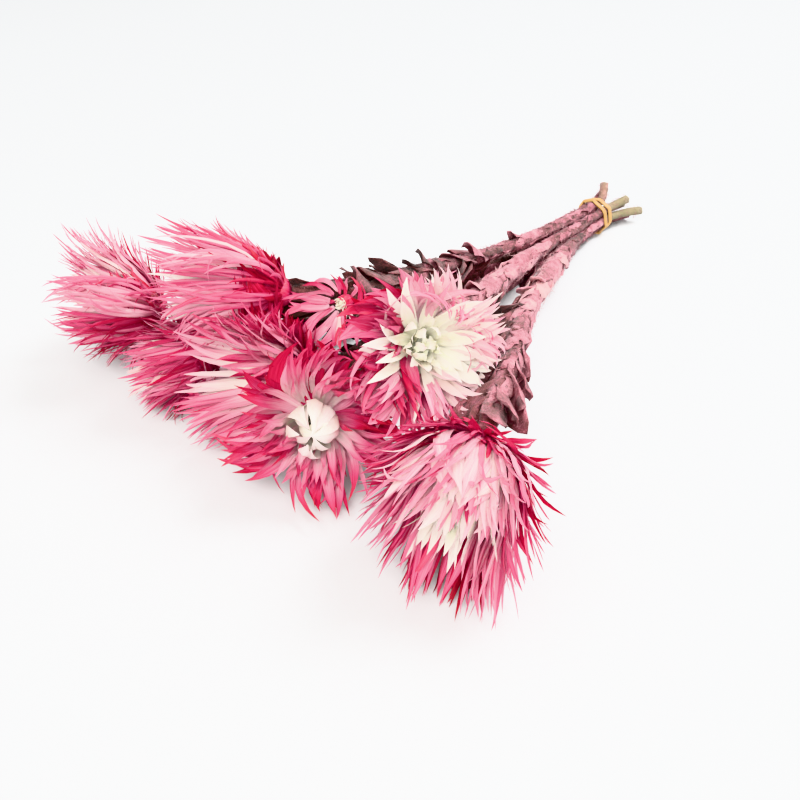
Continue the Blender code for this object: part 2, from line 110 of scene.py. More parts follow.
RING_RADIUS = (STEM_RADIUS_AT_TIE + GAP / 2) / math.sin(math.pi / RING_STEMS)
BAND_WIDTH, BAND_THICKNESS, BAND_SWING = 1.9 * MM, 0.9 * MM, 2.1 * MM
BAND_REACH, BAND_CORNERS = STEM_RADIUS_AT_TIE + GAP + BAND_THICKNESS, 28
BUNDLE_HEIGHT = (RING_RADIUS * math.cos(math.pi / RING_STEMS)
                 + BAND_REACH * math.cos(math.pi / BAND_CORNERS))
STRAIGHT_PAST_TIE = 3.6 * MM
TAIL_STEPS = 12
print("height of the bundle's middle in mm:", round(BUNDLE_HEIGHT / MM, 2))

# %% [markdown]
# ## A head's own directions
#
# Bracts grow round an axis. It helps to work in the head's own frame: a distance out from the
# axis, a direction round it and a height along it. The class below holds the head's place and
# its directions, from which these three make a point of the scene.

# %% The frame of a head
class HeadFrame:
    def __init__(self, spec):
        self.axis = np.array(Vector(spec["facing"]).normalized())
        self.side = np.cross(self.axis, (0.0, 0.0, 1.0))
        self.side /= np.linalg.norm(self.side)
        self.up = np.cross(self.side, self.axis)
        mouth = np.array(spec["mouth"]) * MM
        self.base = mouth - self.axis * spec["length"] * MM
        self.centre = mouth - self.axis * spec["length"] * MM * 0.45

    def around(self, angle):
        return (np.multiply.outer(np.cos(angle), self.side)
                + np.multiply.outer(np.sin(angle), self.up))


frames = {name: HeadFrame(spec) for name, spec in HEADS.items()}
print("heads:", len(frames))

# %% [markdown]
# ## The run of each stem
#
# A dried stem is a smooth, slightly wandering curve. A Hermite curve needs only two points and
# the pull at each, which is just what we know: the head and its axis at one end, the tie and
# the bundle's direction at the other. A slow sine adds the wander, the same on every run,
# because its random numbers are seeded with the stem's letter.

# %% Stem routes
SIDE_ROOM = 0.18 * MM


def hermite(start, start_pull, end, end_pull, steps):
    t = np.linspace(0.0, 1.0, steps)[:, None]
    return ((2 * t**3 - 3 * t**2 + 1) * start + (t**3 - 2 * t**2 + t) * start_pull
            + (-2 * t**3 + 3 * t**2) * end + (t**3 - t**2) * end_pull)


def stem_slot(spec):
    if spec["slot"] is None:
        return np.array((TIE_X, TIE_Y, BUNDLE_HEIGHT))
    turn = math.tau * (spec["slot"] + 0.5) / RING_STEMS - math.pi / 2
    return np.array((TIE_X + RING_RADIUS * math.cos(turn), TIE_Y,
                     BUNDLE_HEIGHT + RING_RADIUS * math.sin(turn)))


def stem_route(letter, steps=90):
    spec, head = HEADS[letter], frames[letter]
    draw = random.Random("route " + letter)
    slot = stem_slot(spec)
    splay, tail, rise = spec["tail"]
    onward = slot + np.array((0, STRAIGHT_PAST_TIE, 0))
    cut = onward + np.array((splay, 1.0, rise)) * tail * MM
    end = head.base - head.axis * GAP
    reach = np.linalg.norm(end - slot)
    tail_line = hermite(onward, np.array((0, 1.0, 0)) * tail * MM, cut,
                        np.array((1.6 * splay, 1.0, 1.6 * rise)) * tail * MM, TAIL_STEPS)[::-1]
    body = hermite(slot, np.array((0, -1.0, 0)) * reach * 0.9,
                   end, head.axis * reach * 0.45, steps)
    t = np.linspace(0.0, 1.0, steps)
    window = (t * (1 - t) * 4) ** 2
    for axis in (0, 2):
        wave = np.sin(math.tau * (draw.uniform(1.6, 2.4) * t + draw.uniform(0, 1)))
        body[:, axis] += WANDER * window * wave
    return np.vstack((tail_line, body))


def along_route(route):
    """Each point's share of the way from the tie (0) to the head (1), below 0 in the tail."""
    step = np.linalg.norm(np.diff(route, axis=0), axis=1)
    length = np.concatenate(((0.0,), np.cumsum(step)))
    return (length - length[TAIL_STEPS]) / (length[-1] - length[TAIL_STEPS])


def target_radius(share):
    """Thin at the tie, full from 0.38 of the way, thinner at the neck, wider at the cut end."""
    grow = np.clip(share / 0.38, 0.0, 1.0)
    grow = grow * grow * (3 - 2 * grow)
    tail = np.clip(-share / 0.06, 0.0, 1.0)
    neck = np.clip((share - 0.9) / 0.1, 0.0, 1.0)
    radius = STEM_RADIUS_AT_TIE + (STEM_RADIUS - STEM_RADIUS_AT_TIE) * grow
    return radius - 1.0 * MM * neck + 0.25 * MM * tail


routes = {name: stem_route(name) for name in HEADS}
radii = {}
for name, route in routes.items():
    others = np.vstack([r for n, r in routes.items() if n != name])
    away = np.linalg.norm(route[:, None] - others[None], axis=2).min(axis=1)
    radii[name] = np.minimum.reduce((target_radius(along_route(route)),
                                     away / 2 - SIDE_ROOM, route[:, 2]))
    length = np.linalg.norm(np.diff(route, axis=0), axis=1).sum()
    print("stem", name, "length in mm:", round(length * 1000))

# %% [markdown]
# ## The room each head has
#
# Heads in a bunch press on each other and on the surface. Instead of simulating that, each head
# gets a cell: flat walls between it and its neighbours, at the stems that pass, and just under
# the surface. Points that would lie beyond a wall are drawn in softly, the further out the more,
# so the bracts crowd together there as real ones do.
#
# Drawing in alone crumples a long bract against a near wall. So a bract is first made shorter,
# until it fits the twelve sides and the walls, and only what is left over is drawn in.

# %% Cells round the heads
NEARBY = 1.25
TRIM_SCALES = np.linspace(1.0, 0.3, 15)


def head_cell(name):
    head = frames[name]
    normals, limits = [np.array((0.0, 0.0, -1.0))], [head.centre[2] + SINK]
    reach = HEADS[name]["reach"] * MM
    for other, theirs in frames.items():
        if other == name:
            continue
        across = theirs.centre - head.centre
        distance = np.linalg.norm(across)
        share = reach / (reach + HEADS[other]["reach"] * MM)
        share = PARTING.get(name + other, 1 - PARTING.get(other + name, 1 - share))
        if distance * share < reach * NEARBY:
            normals.append(across / distance)
            limits.append(distance * share + MINGLE)
    for other, route in routes.items():
        if other == name:
            continue
        toward = route - head.centre
        distance = np.linalg.norm(toward, axis=1)
        room = radii[other] + GAP
        near = distance < reach * NEARBY + room
        while near.any():
            reached = toward @ np.array(normals).T - np.array(limits)
            inside = near & (reached.max(axis=1) < room)
            if not inside.any():
                break
            worst = np.where(inside, distance - room, np.inf).argmin()
            normals.append(toward[worst] / distance[worst])
            limits.append(distance[worst] - room[worst])
            near[worst] = False
    return np.array(normals), np.array(limits)


def side_walls(name):
    reaches = np.array(HEADS[name]["sides"]) * MM
    turn = math.tau * np.arange(len(reaches)) / len(reaches)
    return np.outer(np.cos(turn), VIEW_RIGHT) + np.outer(np.sin(turn), VIEW_UP), reaches


def trimmed(line, centre, walls, slack):
    """The line drawn in towards its root until it stays within the walls, and its scale."""
    root = line[0]
    for scale in TRIM_SCALES:
        points = root + (line - root) * scale
        if ((points - centre) @ walls[0].T / walls[1]).max() < slack:
            break
    return points, scale


def squeezed(points, centre, cell, margin, knee):
    normals, limits = cell
    away = points - centre
    distance = np.linalg.norm(away, axis=1)
    towards = away / np.maximum(distance, 1e-9)[:, None]
    facing = np.maximum(towards @ normals.T, 1e-6)
    wall = ((limits - margin)[None] / facing).min(axis=1)
    share = distance / wall
    soft = knee + (1 - knee) * (1 - np.exp(-np.maximum(share - knee, 0.0) / (1 - knee)))
    share = np.where(share > knee, soft, share)
    return centre + towards * (share * wall)[:, None]


cells = {name: head_cell(name) for name in HEADS}
sides = {name: side_walls(name) for name in HEADS}
print("walls round each head:", {name: len(cell[1]) for name, cell in cells.items()})

# %% [markdown]
# ## Patterns
#
# Bracts, leaves and fibres are all pointed blades, and a bunch holds thousands of them. So we
# make one spike with a bmesh operator, cut it across into rings, and spread it so that it keeps
# its full width until the last ring. Two of its corners are the blade's edges. They are marked
# sharp, so that its two faces shade apart.
#
# A pattern has only a few dozen faces, because it is copied so often. A stem is the same idea
# with flat ends: a round rod cut into rings.

# %% Spikes and rods
def cut_rings(bm, rings):
    for share in rings:
        bmesh.ops.bisect_plane(bm, geom=bm.verts[:] + bm.edges[:] + bm.faces[:],
                               plane_co=(0, 0, share), plane_no=(0, 0, 1))


def as_mesh(bm, name):
    for face in bm.faces:
        face.smooth = True
    mesh = bpy.data.meshes.new(name)
    bm.to_mesh(mesh)
    bm.free()
    return mesh


def spike_pattern(name, sides, rings):
    bm = bmesh.new()
    bmesh.ops.create_cone(bm, cap_ends=True, segments=sides, radius1=1.0, radius2=0.0, depth=1.0)
    bmesh.ops.translate(bm, verts=bm.verts, vec=(0, 0, 0.5))
    bmesh.ops.remove_doubles(bm, verts=bm.verts, dist=1e-5)
    cut_rings(bm, rings)
    for vert in bm.verts:
        spread = 1 - vert.co.z if vert.co.z < 0.999 else 1.0
        vert.co.x, vert.co.y = round(vert.co.x / spread, 3), round(vert.co.y / spread, 3)
    for edge in bm.edges:
        edge.smooth = not all(abs(v.co.x) > 0.9 or v.co.z > 0.999 for v in edge.verts)
    return as_mesh(bm, name)


def rod_pattern(name, sides, rings):
    bm = bmesh.new()
    bmesh.ops.create_cone(bm, cap_ends=True, segments=sides, radius1=1.0, radius2=1.0, depth=1.0)
    bmesh.ops.translate(bm, verts=bm.verts, vec=(0, 0, 0.5))
    ends = [f for f in bm.faces if len(f.verts) == sides]
    bmesh.ops.inset_individual(bm, faces=ends, thickness=0.3, use_even_offset=True)
    cut_rings(bm, rings)
    return as_mesh(bm, name)


def corners(pattern):
    """The pattern's vertices as an array: across the blade, out of it, along it."""
    flat = np.zeros(len(pattern.vertices) * 3)
    pattern.vertices.foreach_get("co", flat)
    return flat.reshape(-1, 3)


def polar(shape):
    """The angle of each corner round the pattern's middle line, and its distance from it."""
    return np.arctan2(shape[:, 1], shape[:, 0]), np.linalg.norm(shape[:, :2], axis=1)


BRACT = spike_pattern("bract", 4, (0.07, 0.2, 0.35, 0.5, 0.64, 0.76, 0.86, 0.94))
LEAF = spike_pattern("leaf", 6, (0.15, 0.35, 0.55, 0.75, 0.9))
FIBRE = spike_pattern("fibre", 3, (0.35, 0.7))
ROD = rod_pattern("rod", 12, np.linspace(0.0, 1.0, 66)[1:-1])
for pattern in (BRACT, LEAF, FIBRE, ROD):
    print(pattern.name, "faces:", len(pattern.polygons))

# %% [markdown]
# ## Sowing copies of a pattern
#
# A mesh is filled with copies of a pattern, and then every vertex is moved to its place in one
# step. Beside its place, each vertex carries a few numbers for the material: how much dye it has,
# or how dark its tone is, with painted shade on the stems near the heads, its place along and
# across the blade, and a shade of the blade's own.
#
# One fault is left in. Several frames in this lesson are left-handed, so a copy placed with them
# is mirrored, and its faces point inwards. A render shades both sides, so it hardly shows. What
# to learn from it: after vertices are moved, have the normals recalculated and look at them.

# %% Sow and bend
RUFFLE_WAVES, RUFFLE_LAG = 11.0, 1.7


def batch(pattern, *marks):
    return {"pattern": pattern, "places": [], "marks": {name: [] for name in marks}}


def add_copy(batch, places, **marks):
    batch["places"].append(places)
    for name, values in marks.items():
        batch["marks"][name].append(np.broadcast_to(values, len(places)))


def sown(name, batches, material):
    """One object with every copy in the batches."""
    bm = bmesh.new()
    for each in batches:
        for _ in each["places"]:
            bm.from_mesh(each["pattern"])
    mesh = bpy.data.meshes.new(name)
    bm.to_mesh(mesh)
    bm.free()
    places = np.concatenate([p for each in batches for p in each["places"]])
    places[:, 2] = np.maximum(places[:, 2], 0.0)
    mesh.vertices.foreach_set("co", places.ravel())
    for mark in batches[0]["marks"]:
        layer = mesh.attributes.new(mark, "FLOAT", "POINT")
        values = np.concatenate([v for each in batches for v in each["marks"][mark]])
        layer.data.foreach_set("value", values.astype(np.float32))
    mesh.materials.append(material)
    mesh.update()
    made = bpy.data.objects.new(name, mesh)
    bpy.context.scene.collection.objects.link(made)
    return made


def rings_of(pattern):
    """The shares along the pattern where it has rings, and the ring of each vertex."""
    return np.unique(corners(pattern)[:, 2].round(3), return_inverse=True)


def bent(pattern, line, across, out, width, thickness, cup=0.0, twist=0.0, ruffle=(0.0, 0.0)):
    """The pattern's corners laid along a line. line, across and out hold a row for each ring of
    the pattern, from root to tip. ruffle is how far the edges wave, and the waves' place."""
    shape = corners(pattern)
    shares, ring = rings_of(pattern)
    tangent = np.gradient(line, axis=0)
    tangent /= np.linalg.norm(tangent, axis=1)[:, None]
    side = across - tangent * (across * tangent).sum(axis=1)[:, None]
    side /= np.linalg.norm(side, axis=1)[:, None]
    keel = np.cross(tangent, side)
    keel *= np.where((keel * out).sum(axis=1) < 0, -1.0, 1.0)[:, None]
    turn = (twist * shares**1.5)[:, None]
    side, keel = (side * np.cos(turn) + keel * np.sin(turn),
                  keel * np.cos(turn) - side * np.sin(turn))
    a, b = shape[:, :1], shape[:, 1:2]
    wide, thick, cupped = (np.broadcast_to(v, shares.shape)[ring][:, None]
                           for v in (width / 2, thickness / 2, cup))
    phase = RUFFLE_WAVES * shares[ring][:, None] + ruffle[1] + RUFFLE_LAG * a
    wave = ruffle[0] * a * np.sin(phase)
    return line[ring] + side[ring] * a * wide + keel[ring] * (b * thick - a**2 * cupped + wave)


print("rings of a leaf lie at:", rings_of(LEAF)[0])

# %% [markdown]
# ## How the bracts of a head are set
#
# Bracts follow each other round the head at the golden angle, as leaves do on most plants, so
# no two stand exactly in line. Their rank runs from 0, the short crimson ones at the stem, to 1,
# the innermost of the dyed ones. Every measure is read from a small table by rank: how steeply
# the bract leaves the axis at its root, past its middle and at its tip, for a shut and for an
# open head, and how long and wide it is.
#
# Dried bracts stick together in tufts. Each head has a few tuft directions. A bract's tip is
# drawn towards the nearest one, and shares its lean and its dye.

# %% Measures by rank
RANK = (0.0, 0.18, 0.38, 0.58, 0.72)
SLANT_SHUT = ((74, 63, 56, 50, 38), (58, 15, 8, 4, -1), (66, 36, 24, 16, 8))
SLANT_OPEN = ((92, 78, 67, 58, 50), (98, 44, 34, 28, 26), (112, 74, 60, 50, 44))
LENGTH = (0.34, 0.90, 1.0, 0.97, 0.90)
WIDTH = (1.8, 2.0, 2.1, 2.3, 2.9)
ROOT_OUT = (3.6, 3.6, 3.8, 3.9, 3.0)
ROOT_HIGH = (2.2, 3.0, 4.0, 5.0, 7.0)
GOLDEN = math.pi * (3 - math.sqrt(5))
SHARES, BRACT_RING = rings_of(BRACT)
BLADE_OUTLINE = np.interp(SHARES, (0, 0.25, 0.5, 0.76, 0.92, 1.0), (0.5, 0.88, 1.0, 0.76, 0.28, 0))
TUFT_PULL = 0.55
WAVER = math.radians(8)
FINE = np.linspace(0.0, 1.0, 41)


def at_rank(table, rank):
    return float(np.interp(rank, RANK, table))


def bract_line(head, slants, length, root_out, root_high, angle, swirl, wave):
    """A bract's middle line with the directions across and out of it, a row for each ring."""
    slant = np.interp(FINE, (0.0, 0.55, 1.0), np.radians(slants))
    slant += WAVER * np.sin(math.tau * (wave[0] * FINE + wave[1])) * FINE
    middle = (slant[1:] + slant[:-1]) / 2
    step = length / (len(FINE) - 1)
    out = root_out * MM + np.concatenate(((0.0,), np.cumsum(np.sin(middle)))) * step
    high = root_high * MM + np.concatenate(((0.0,), np.cumsum(np.cos(middle)))) * step
    slant, out, high = (np.interp(SHARES, FINE, v) for v in (slant, out, high))
    way = head.around(angle + swirl * SHARES**2)
    line = head.base + way * out[:, None] + head.axis * high[:, None]
    back = way * np.cos(slant)[:, None] - head.axis * np.sin(slant)[:, None]
    return line, np.cross(head.axis, way), back


print("rings of a bract:", len(SHARES), "golden angle:", round(math.degrees(GOLDEN), 1))

# %% [markdown]
# ## Dye
#
# The flowers were dyed by standing them in colour, and the bracts took it up unevenly: the
# short outer ones are crimson all over, the long ones pale at the root and pink at the tip, and
# the innermost stayed cream. Each head is different, and one side of a head can be paler than
# the other. So each vertex gets an amount of dye, read from its head's own table by rank and by
# the place along the bract, and one colour ramp in the material turns dye into colour.
#
# The table also shapes each head. short makes the bracts on one side shorter, open replaces the
# head's openness, and flare bends the tips out. The extra rows add bracts where one head differs
# from the common plan: a crimson fan at its neck, a pale patch, a few long bracts to one side.

# %% Dye and hearts, head by head
# outer, inner, base: dye at the root, middle and tip; pale: a direction; swing: how much paler
# that way; short: a direction and how much shorter that way; count: outer bracts; tufts: how many
# extra: rows of (count, direction, scatter round the axis, length, width, slants, dye)
# heart: rows of (count, root out, root height, length, width, slants, scatter, dye)
LOOKS = {
    "a": dict(
        base=(0.80, 0.70, 0.66), outer=(0.66, 0.58, 0.64), inner=(0.22, 0.34, 0.52),
        pale=(0.52, -0.62, 0.59),
        swing=0.28, short=((0.52, -0.62, 0.59), 0.32), count=400, tufts=16, wide=1.12, flare=0,
        extra=(
            (36, (0.45, -0.50, 0.75), 0.75, 33, 4.6, (60, 16, 6), (0.34, 0.08, 0.14)),
            (9, (-0.80, -0.50, 0.30), 0.35, 32, 4.2, (70, 52, 50), (0.35, 0.45, 0.80)),
            (30, (0, 0, 1), 2.0, 18, 2.2, (88, 56, 60), (0.7, 0.72, 0.74)),
            (34, (-0.84, -0.41, 0.32), 0.5, 40, 2.6, (76, 44, 50), (0.75, 0.60, 0.62)),
        ),
        heart=(
            (22, 2.4, 8.0, 33, 4.4, (28, 6, 10), 8, 0.08),
            (18, 1.3, 8.6, 26, 2.6, (14, 0, 2), 8, 0.04))),
    "b": dict(
        outer=(0.66, 0.50, 0.42), inner=(0.06, 0.22, 0.36), pale=(0.76, 0.65, 0.0),
        swing=0.32, short=((-0.76, -0.60, 0.20), 0.40), count=410, tufts=21, wide=1.05, flare=6,
        extra=(
            (17, (-0.80, -0.50, 0.25), 0.55, 31, 7.4, (62, 44, 60), (0.58, 0.72, 0.76)),
            (34, (-0.27, -0.77, -0.57), 0.5, 37, 2.9, (66, 52, 50), (0.6, 0.52, 0.55)),
            (12, (0.55, 0.75, 0.30), 0.5, 30, 3.8, (50, 40, 60), (0.05, 0.10, 0.22)),
            (34, (0.20, 0.80, 0.55), 0.9, 33, 1.2, (58, 26, -60), (0.15, 0.26, 0.50)),
        ),
        heart=(
            (26, 2.6, 8.0, 27, 4.4, (52, 34, 50), 12, 0.06),
            (20, 1.8, 8.6, 20, 3.8, (36, 12, -10), 12, 0.03),
            (18, 0.9, 8.9, 13, 2.6, (12, -8, -60), 14, 0.0))),
    "c": dict(
        outer=(0.30, 0.58, 0.84), inner=(0.00, 0.26, 0.74), pale=(-0.5, -0.3, -0.6),
        swing=0.14, short=((0.38, -0.45, -0.81), 0.30), count=240, tufts=12, wide=1.2, flare=0,
        extra=(
            (30, (-0.65, -0.78, -0.24), 0.35, 33, 3.5, (62, 50, 52), (0.08, 0.42, 0.82)),
            (15, (-0.38, 0.45, 0.81), 0.6, 26, 5.8, (72, 62, 68), (0.72, 0.84, 0.88)),
            (16, (0.76, 0.60, -0.25), 0.4, 32, 3.8, (72, 60, 56), (0.5, 0.7, 0.8)),
            (20, (0.50, -0.35, -0.81), 0.55, 36, 3.1, (62, 46, 38), (0.00, 0.24, 0.86)),
        ),
        heart=(
            (11, 4.0, 8.0, 27, 5.2, (36, -6, -56), 4, 0.10),
            (7, 2.8, 8.6, 24, 4.6, (28, -4, -58), 5, 0.08),
            (5, 0.8, 8.8, 14, 3.0, (8, 0, 0), 5, 0.12))),
    "d": dict(
        outer=(0.74, 0.50, 0.62), inner=(0.06, 0.28, 0.62), pale=(-0.6, -0.6, -0.5),
        swing=0.20, count=500, tufts=16, wide=0.88, flare=8,
        extra=(
            (14, (0.08, 0.68, 0.65), 0.5, 22, 4.0, (85, 70, 78), (0.8, 0.85, 0.9)),
            (32, (0, 0, 1), 2.0, 19, 2.8, (84, 56, 56), (0.85, 0.88, 0.85)),
        ),
        heart=(
            (12, 2.4, 8.0, 16, 4.2, (34, 12, -8), 7, 0.04),
            (12, 1.3, 8.6, 12, 3.2, (18, 0, -20), 7, 0.0))),
    "e": dict(
        outer=(0.92, 0.50, 0.62), inner=(0.30, 0.28, 0.50), pale=(0.0, 0.0, 1.0),
        swing=0.06, count=580, tufts=22, wide=0.76, open=0.24, flare=13,
        extra=(
            (100, (0, 0, 1), 2.0, 18, 2.6, (74, 40, 44), (0.96, 0.9, 0.82)),
            (24, (0.30, 0.40, 0.85), 0.9, 10, 3.0, (70, 78, 90), (0.95, 0.95, 0.95)),
        ),
        heart=(
            (16, 2.4, 8.0, 40, 3.0, (26, -2, 6), 6, 0.10),
            (12, 1.3, 8.6, 33, 2.6, (12, -4, -2), 6, 0.06))),
    "f": dict(
        outer=(0.96, 0.64, 0.64), inner=(0.28, 0.34, 0.52), pale=(0.5, -0.4, 0.3),
        swing=0.08, count=540, tufts=19, wide=0.76, open=0.6, flare=14,
        extra=(
            (90, (0, 0, 1), 2.0, 19, 2.3, (72, 36, 40), (0.96, 0.88, 0.78)),
        ),
        heart=(
            (14, 2.4, 8.0, 31, 3.2, (32, 6, 14), 7, 0.12),
            (12, 1.3, 8.6, 25, 2.6, (16, 0, -4), 6, 0.06))),
    "g": dict(
        base=(0.86, 0.80, 0.72), outer=(0.80, 0.62, 0.58), inner=(0.36, 0.40, 0.50),
        pale=(0.0, 0.0, 1.0), swing=0.06, count=320, tufts=13, wide=0.76, open=0.42, flare=8,
        extra=(
            (30, (0, 0, 1), 2.0, 15, 2.2, (74, 40, 44), (0.8, 0.76, 0.7)),
        ),
        heart=(
            (14, 2.2, 7.6, 29, 2.8, (28, 4, 10), 7, 0.24),
            (10, 1.2, 8.2, 19, 2.4, (16, 0, -8), 6, 0.12))),
    "h": dict(
        outer=(0.60, 0.46, 0.60), inner=(0.60, 0.42, 0.56), pale=(0.0, 0.0, 1.0),
        swing=0.10, count=9, tufts=6, wide=0.9, flare=0,
        extra=(
            (7, (-0.76, -0.65, 0.05), 0.35, 20, 2.5, (80, 76, 84), (0.36, 0.48, 0.64)),
            (6, (-0.45, -0.99, -0.65), 0.35, 19, 2.4, (80, 74, 78), (0.32, 0.46, 0.66)),
            (4, (0.38, -0.45, -0.81), 0.35, 15, 2.4, (78, 74, 78), (0.10, 0.36, 0.66)),
            (5, (-0.38, 0.45, 0.81), 0.9, 9, 2.2, (80, 70, 74), (0.6, 0.6, 0.7)),
        ),
        heart=(
            (26, 1.0, 3.4, 3.6, 0.8, (20, 10, 6), 9, 0.0),
            (12, 0.5, 3.6, 3.4, 0.8, (8, 2, -4), 6, 0.0))),
}
BASE_DYE = (0.98, 0.96, 0.92)


def dye_of(look, rank, way, shift, draw):
    inward = np.interp(rank, (0.2, 0.72), (0.0, 1.0))
    levels = np.array(look["outer"]) * (1 - inward) + np.array(look["inner"]) * inward
    low = max(1 - rank / 0.16, 0.0)
    levels = levels * (1 - low) + np.array(look.get("base", BASE_DYE)) * low
    dye = np.interp(SHARES, (0.0, 0.5, 1.0), levels)
    dye = dye - look["swing"] * float(way @ np.array(look["pale"])) * (1 - low)
    return np.clip(dye + shift + draw.gauss(0, 0.085), 0.0, 1.0)


print("bracts of the common plan:", {name: look["count"] for name, look in LOOKS.items()})


# %% [markdown]
# ## Paper and its colour
#
# A bract is like waxed paper: matt with a faint gloss, finely streaked along its length, and it
# lets light through. The streaks are noise stretched along the blade. They change the dye, so
# they show in the colour, and they feed a small bump. Both bract materials use them, so they
# are a node group, built once. The shader itself, a mix of a Principled and a Translucent one,
# stays in each material.

# %% Helpers for node trees
def linear(red, green, blue):
    """A screen colour, 0 to 255, as the linear colour that a shader wants."""
    return tuple((c / 255 / 12.92) if c <= 10 else ((c / 255 + 0.055) / 1.055) ** 2.4
                 for c in (red, green, blue)) + (1.0,)


def node(tree, kind, **settings):
    made = tree.nodes.new(kind)
    for key, value in settings.items():
        setattr(made, key, value)
    return made


def new_material(name):
    made = bpy.data.materials.new(name)
    made.use_nodes = True
    return made, made.node_tree, made.node_tree.nodes["Principled BSDF"]


def ramp_on(tree, amount, stops):
    """The colour that a ramp gives an amount. stops: (place, (red, green, blue)) of 0 to 255."""
    ramp = node(tree, "ShaderNodeValToRGB")
    elements = ramp.color_ramp.elements
    while len(elements) < len(stops):
        elements.new(0.5)
    for element, (place, colour) in zip(elements, stops):
        element.position, element.color = place, linear(*colour)
    tree.links.new(amount, ramp.inputs["Fac"])
    return ramp.outputs["Color"]


def noise_at(tree, place, scale, detail):
    noise = node(tree, "ShaderNodeTexNoise")
    noise.inputs["Scale"].default_value = scale
    noise.inputs["Detail"].default_value = detail
    tree.links.new(place, noise.inputs["Vector"])
    return noise.outputs[0]


def add_bump(tree, shader, height, strength, distance):
    bump = node(tree, "ShaderNodeBump")
    bump.inputs["Strength"].default_value = strength
    bump.inputs["Distance"].default_value = distance
    tree.links.new(height, bump.inputs["Height"])
    tree.links.new(bump.outputs["Normal"], shader.inputs["Normal"])


def math_node(tree, operation, first, second):
    made = node(tree, "ShaderNodeMath", operation=operation)
    for socket, value in zip(made.inputs, (first, second)):
        if isinstance(value, (int, float)):
            socket.default_value = value
        else:
            tree.links.new(value, socket)
    return made.outputs[0]


def mark(tree, name):
    return node(tree, "ShaderNodeAttribute", attribute_name=name).outputs["Fac"]


print("a screen grey of 128 is linear", round(linear(128, 128, 128)[0], 3))

# %% [markdown]
# ## Streaks
#
# As a bract dries, the dye gathers in fine lines from root to tip, and a little at the edges. A
# texture in object space would run across the blades, so the noise is read in the blade's own
# places, across and along, which every vertex carries. One noise is broad and one is fine, and
# the blade's own shade moves both, so that no two blades match.

# %% The streaks of dried bracts
def streak_group():
    group = bpy.data.node_groups.new("bract streaks", "ShaderNodeTree")
    group.interface.new_socket("Strength", in_out="INPUT", socket_type="NodeSocketFloat")
    group.interface.new_socket("Dye", in_out="OUTPUT", socket_type="NodeSocketFloat")
    group.interface.new_socket("Height", in_out="OUTPUT", socket_type="NodeSocketFloat")
    ins, outs = node(group, "NodeGroupInput"), node(group, "NodeGroupOutput")
    across, along, shade = (mark(group, n) for n in ("across", "along", "shade"))
    heights = []
    for wide, long, seed in ((1.6, 1.2, 31.0), (11.0, 1.8, 57.0)):
        place = node(group, "ShaderNodeCombineXYZ")
        for socket, value, factor in zip(place.inputs, (across, along, shade), (wide, long, seed)):
            group.links.new(math_node(group, "MULTIPLY", value, factor), socket)
        noise = noise_at(group, place.outputs[0], 2.0, 3.0)
        heights.append(math_node(group, "SUBTRACT", noise, 0.5))
    both = math_node(group, "ADD", heights[0], math_node(group, "MULTIPLY", heights[1], 1.2))
    edge = math_node(group, "POWER", math_node(group, "ABSOLUTE", across, 0), 3.0)
    both = math_node(group, "ADD", both, math_node(group, "MULTIPLY", edge, 0.16))
    spread = math_node(group, "MULTIPLY", both, ins.outputs["Strength"])
    group.links.new(math_node(group, "ADD", mark(group, "dye"), spread), outs.inputs["Dye"])
    group.links.new(heights[1], outs.inputs["Height"])
    return group


STREAKS = streak_group()
print("inputs and outputs of the streaks:", [s.name for s in STREAKS.interface.items_tree])

# %% [markdown]
# ## Dyed and undyed paper
#
# The two papers differ only in their ramp, their gloss and how much light they let through. The
# dyed one runs from white through pink to dark crimson. The cream one starts greenish, as the
# closed middle of a head is, and reaches pink only where a little dye got in.

# %% Two bract materials
def bract_material(name, stops, strength, roughness, through):
    made, tree, principled = new_material(name)
    streaks = node(tree, "ShaderNodeGroup", node_tree=STREAKS)
    streaks.inputs["Strength"].default_value = strength
    colour = ramp_on(tree, streaks.outputs["Dye"], stops)
    tree.links.new(colour, principled.inputs["Base Color"])
    principled.inputs["Roughness"].default_value = roughness
    principled.inputs["Specular IOR Level"].default_value = 0.5
    add_bump(tree, principled, streaks.outputs["Height"], 0.35, 0.0003)
    thin = node(tree, "ShaderNodeBsdfTranslucent")
    tree.links.new(colour, thin.inputs["Color"])
    mix = node(tree, "ShaderNodeMixShader")
    mix.inputs[0].default_value = through
    tree.links.new(principled.outputs[0], mix.inputs[1])
    tree.links.new(thin.outputs[0], mix.inputs[2])
    tree.links.new(mix.outputs[0], tree.nodes["Material Output"].inputs["Surface"])
    return made


PINK_PAPER = bract_material("dyed pink paper", (
    (0.00, (254, 246, 240)), (0.20, (249, 223, 229)), (0.40, (240, 175, 198)),
    (0.60, (221, 104, 147)), (0.80, (203, 50, 90)), (1.00, (168, 18, 44))),
    0.42, 0.42, 0.42)
CREAM_PAPER = bract_material("undyed cream paper", (
    (0.00, (246, 247, 226)), (0.06, (255, 254, 243)), (0.16, (255, 253, 249)),
    (0.42, (252, 212, 214)), (1.00, (206, 60, 98))),
    0.20, 0.34, 0.28)
print("papers:", PINK_PAPER.name, "and", CREAM_PAPER.name)

# %% [markdown]
# ## Grow the heads
#
# Each head becomes two pieces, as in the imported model: the dyed outer bracts with the small
# woody disc that holds them, and the pale heart. The disc and the closed middle are turned
# shapes, so a rod whose rings follow a profile does for both.
#
# A bract that would have to be trimmed below STUB of its length is left out, because a stub
# looks unlike anything on the flower.

# %% One bract, and the knobs
PAPER, STUB = 0.16 * MM, 0.42
KNOB = rod_pattern("knob", 14, (0.15, 0.3, 0.45, 0.6, 0.75, 0.9))
print("faces of a knob:", len(KNOB.polygons))


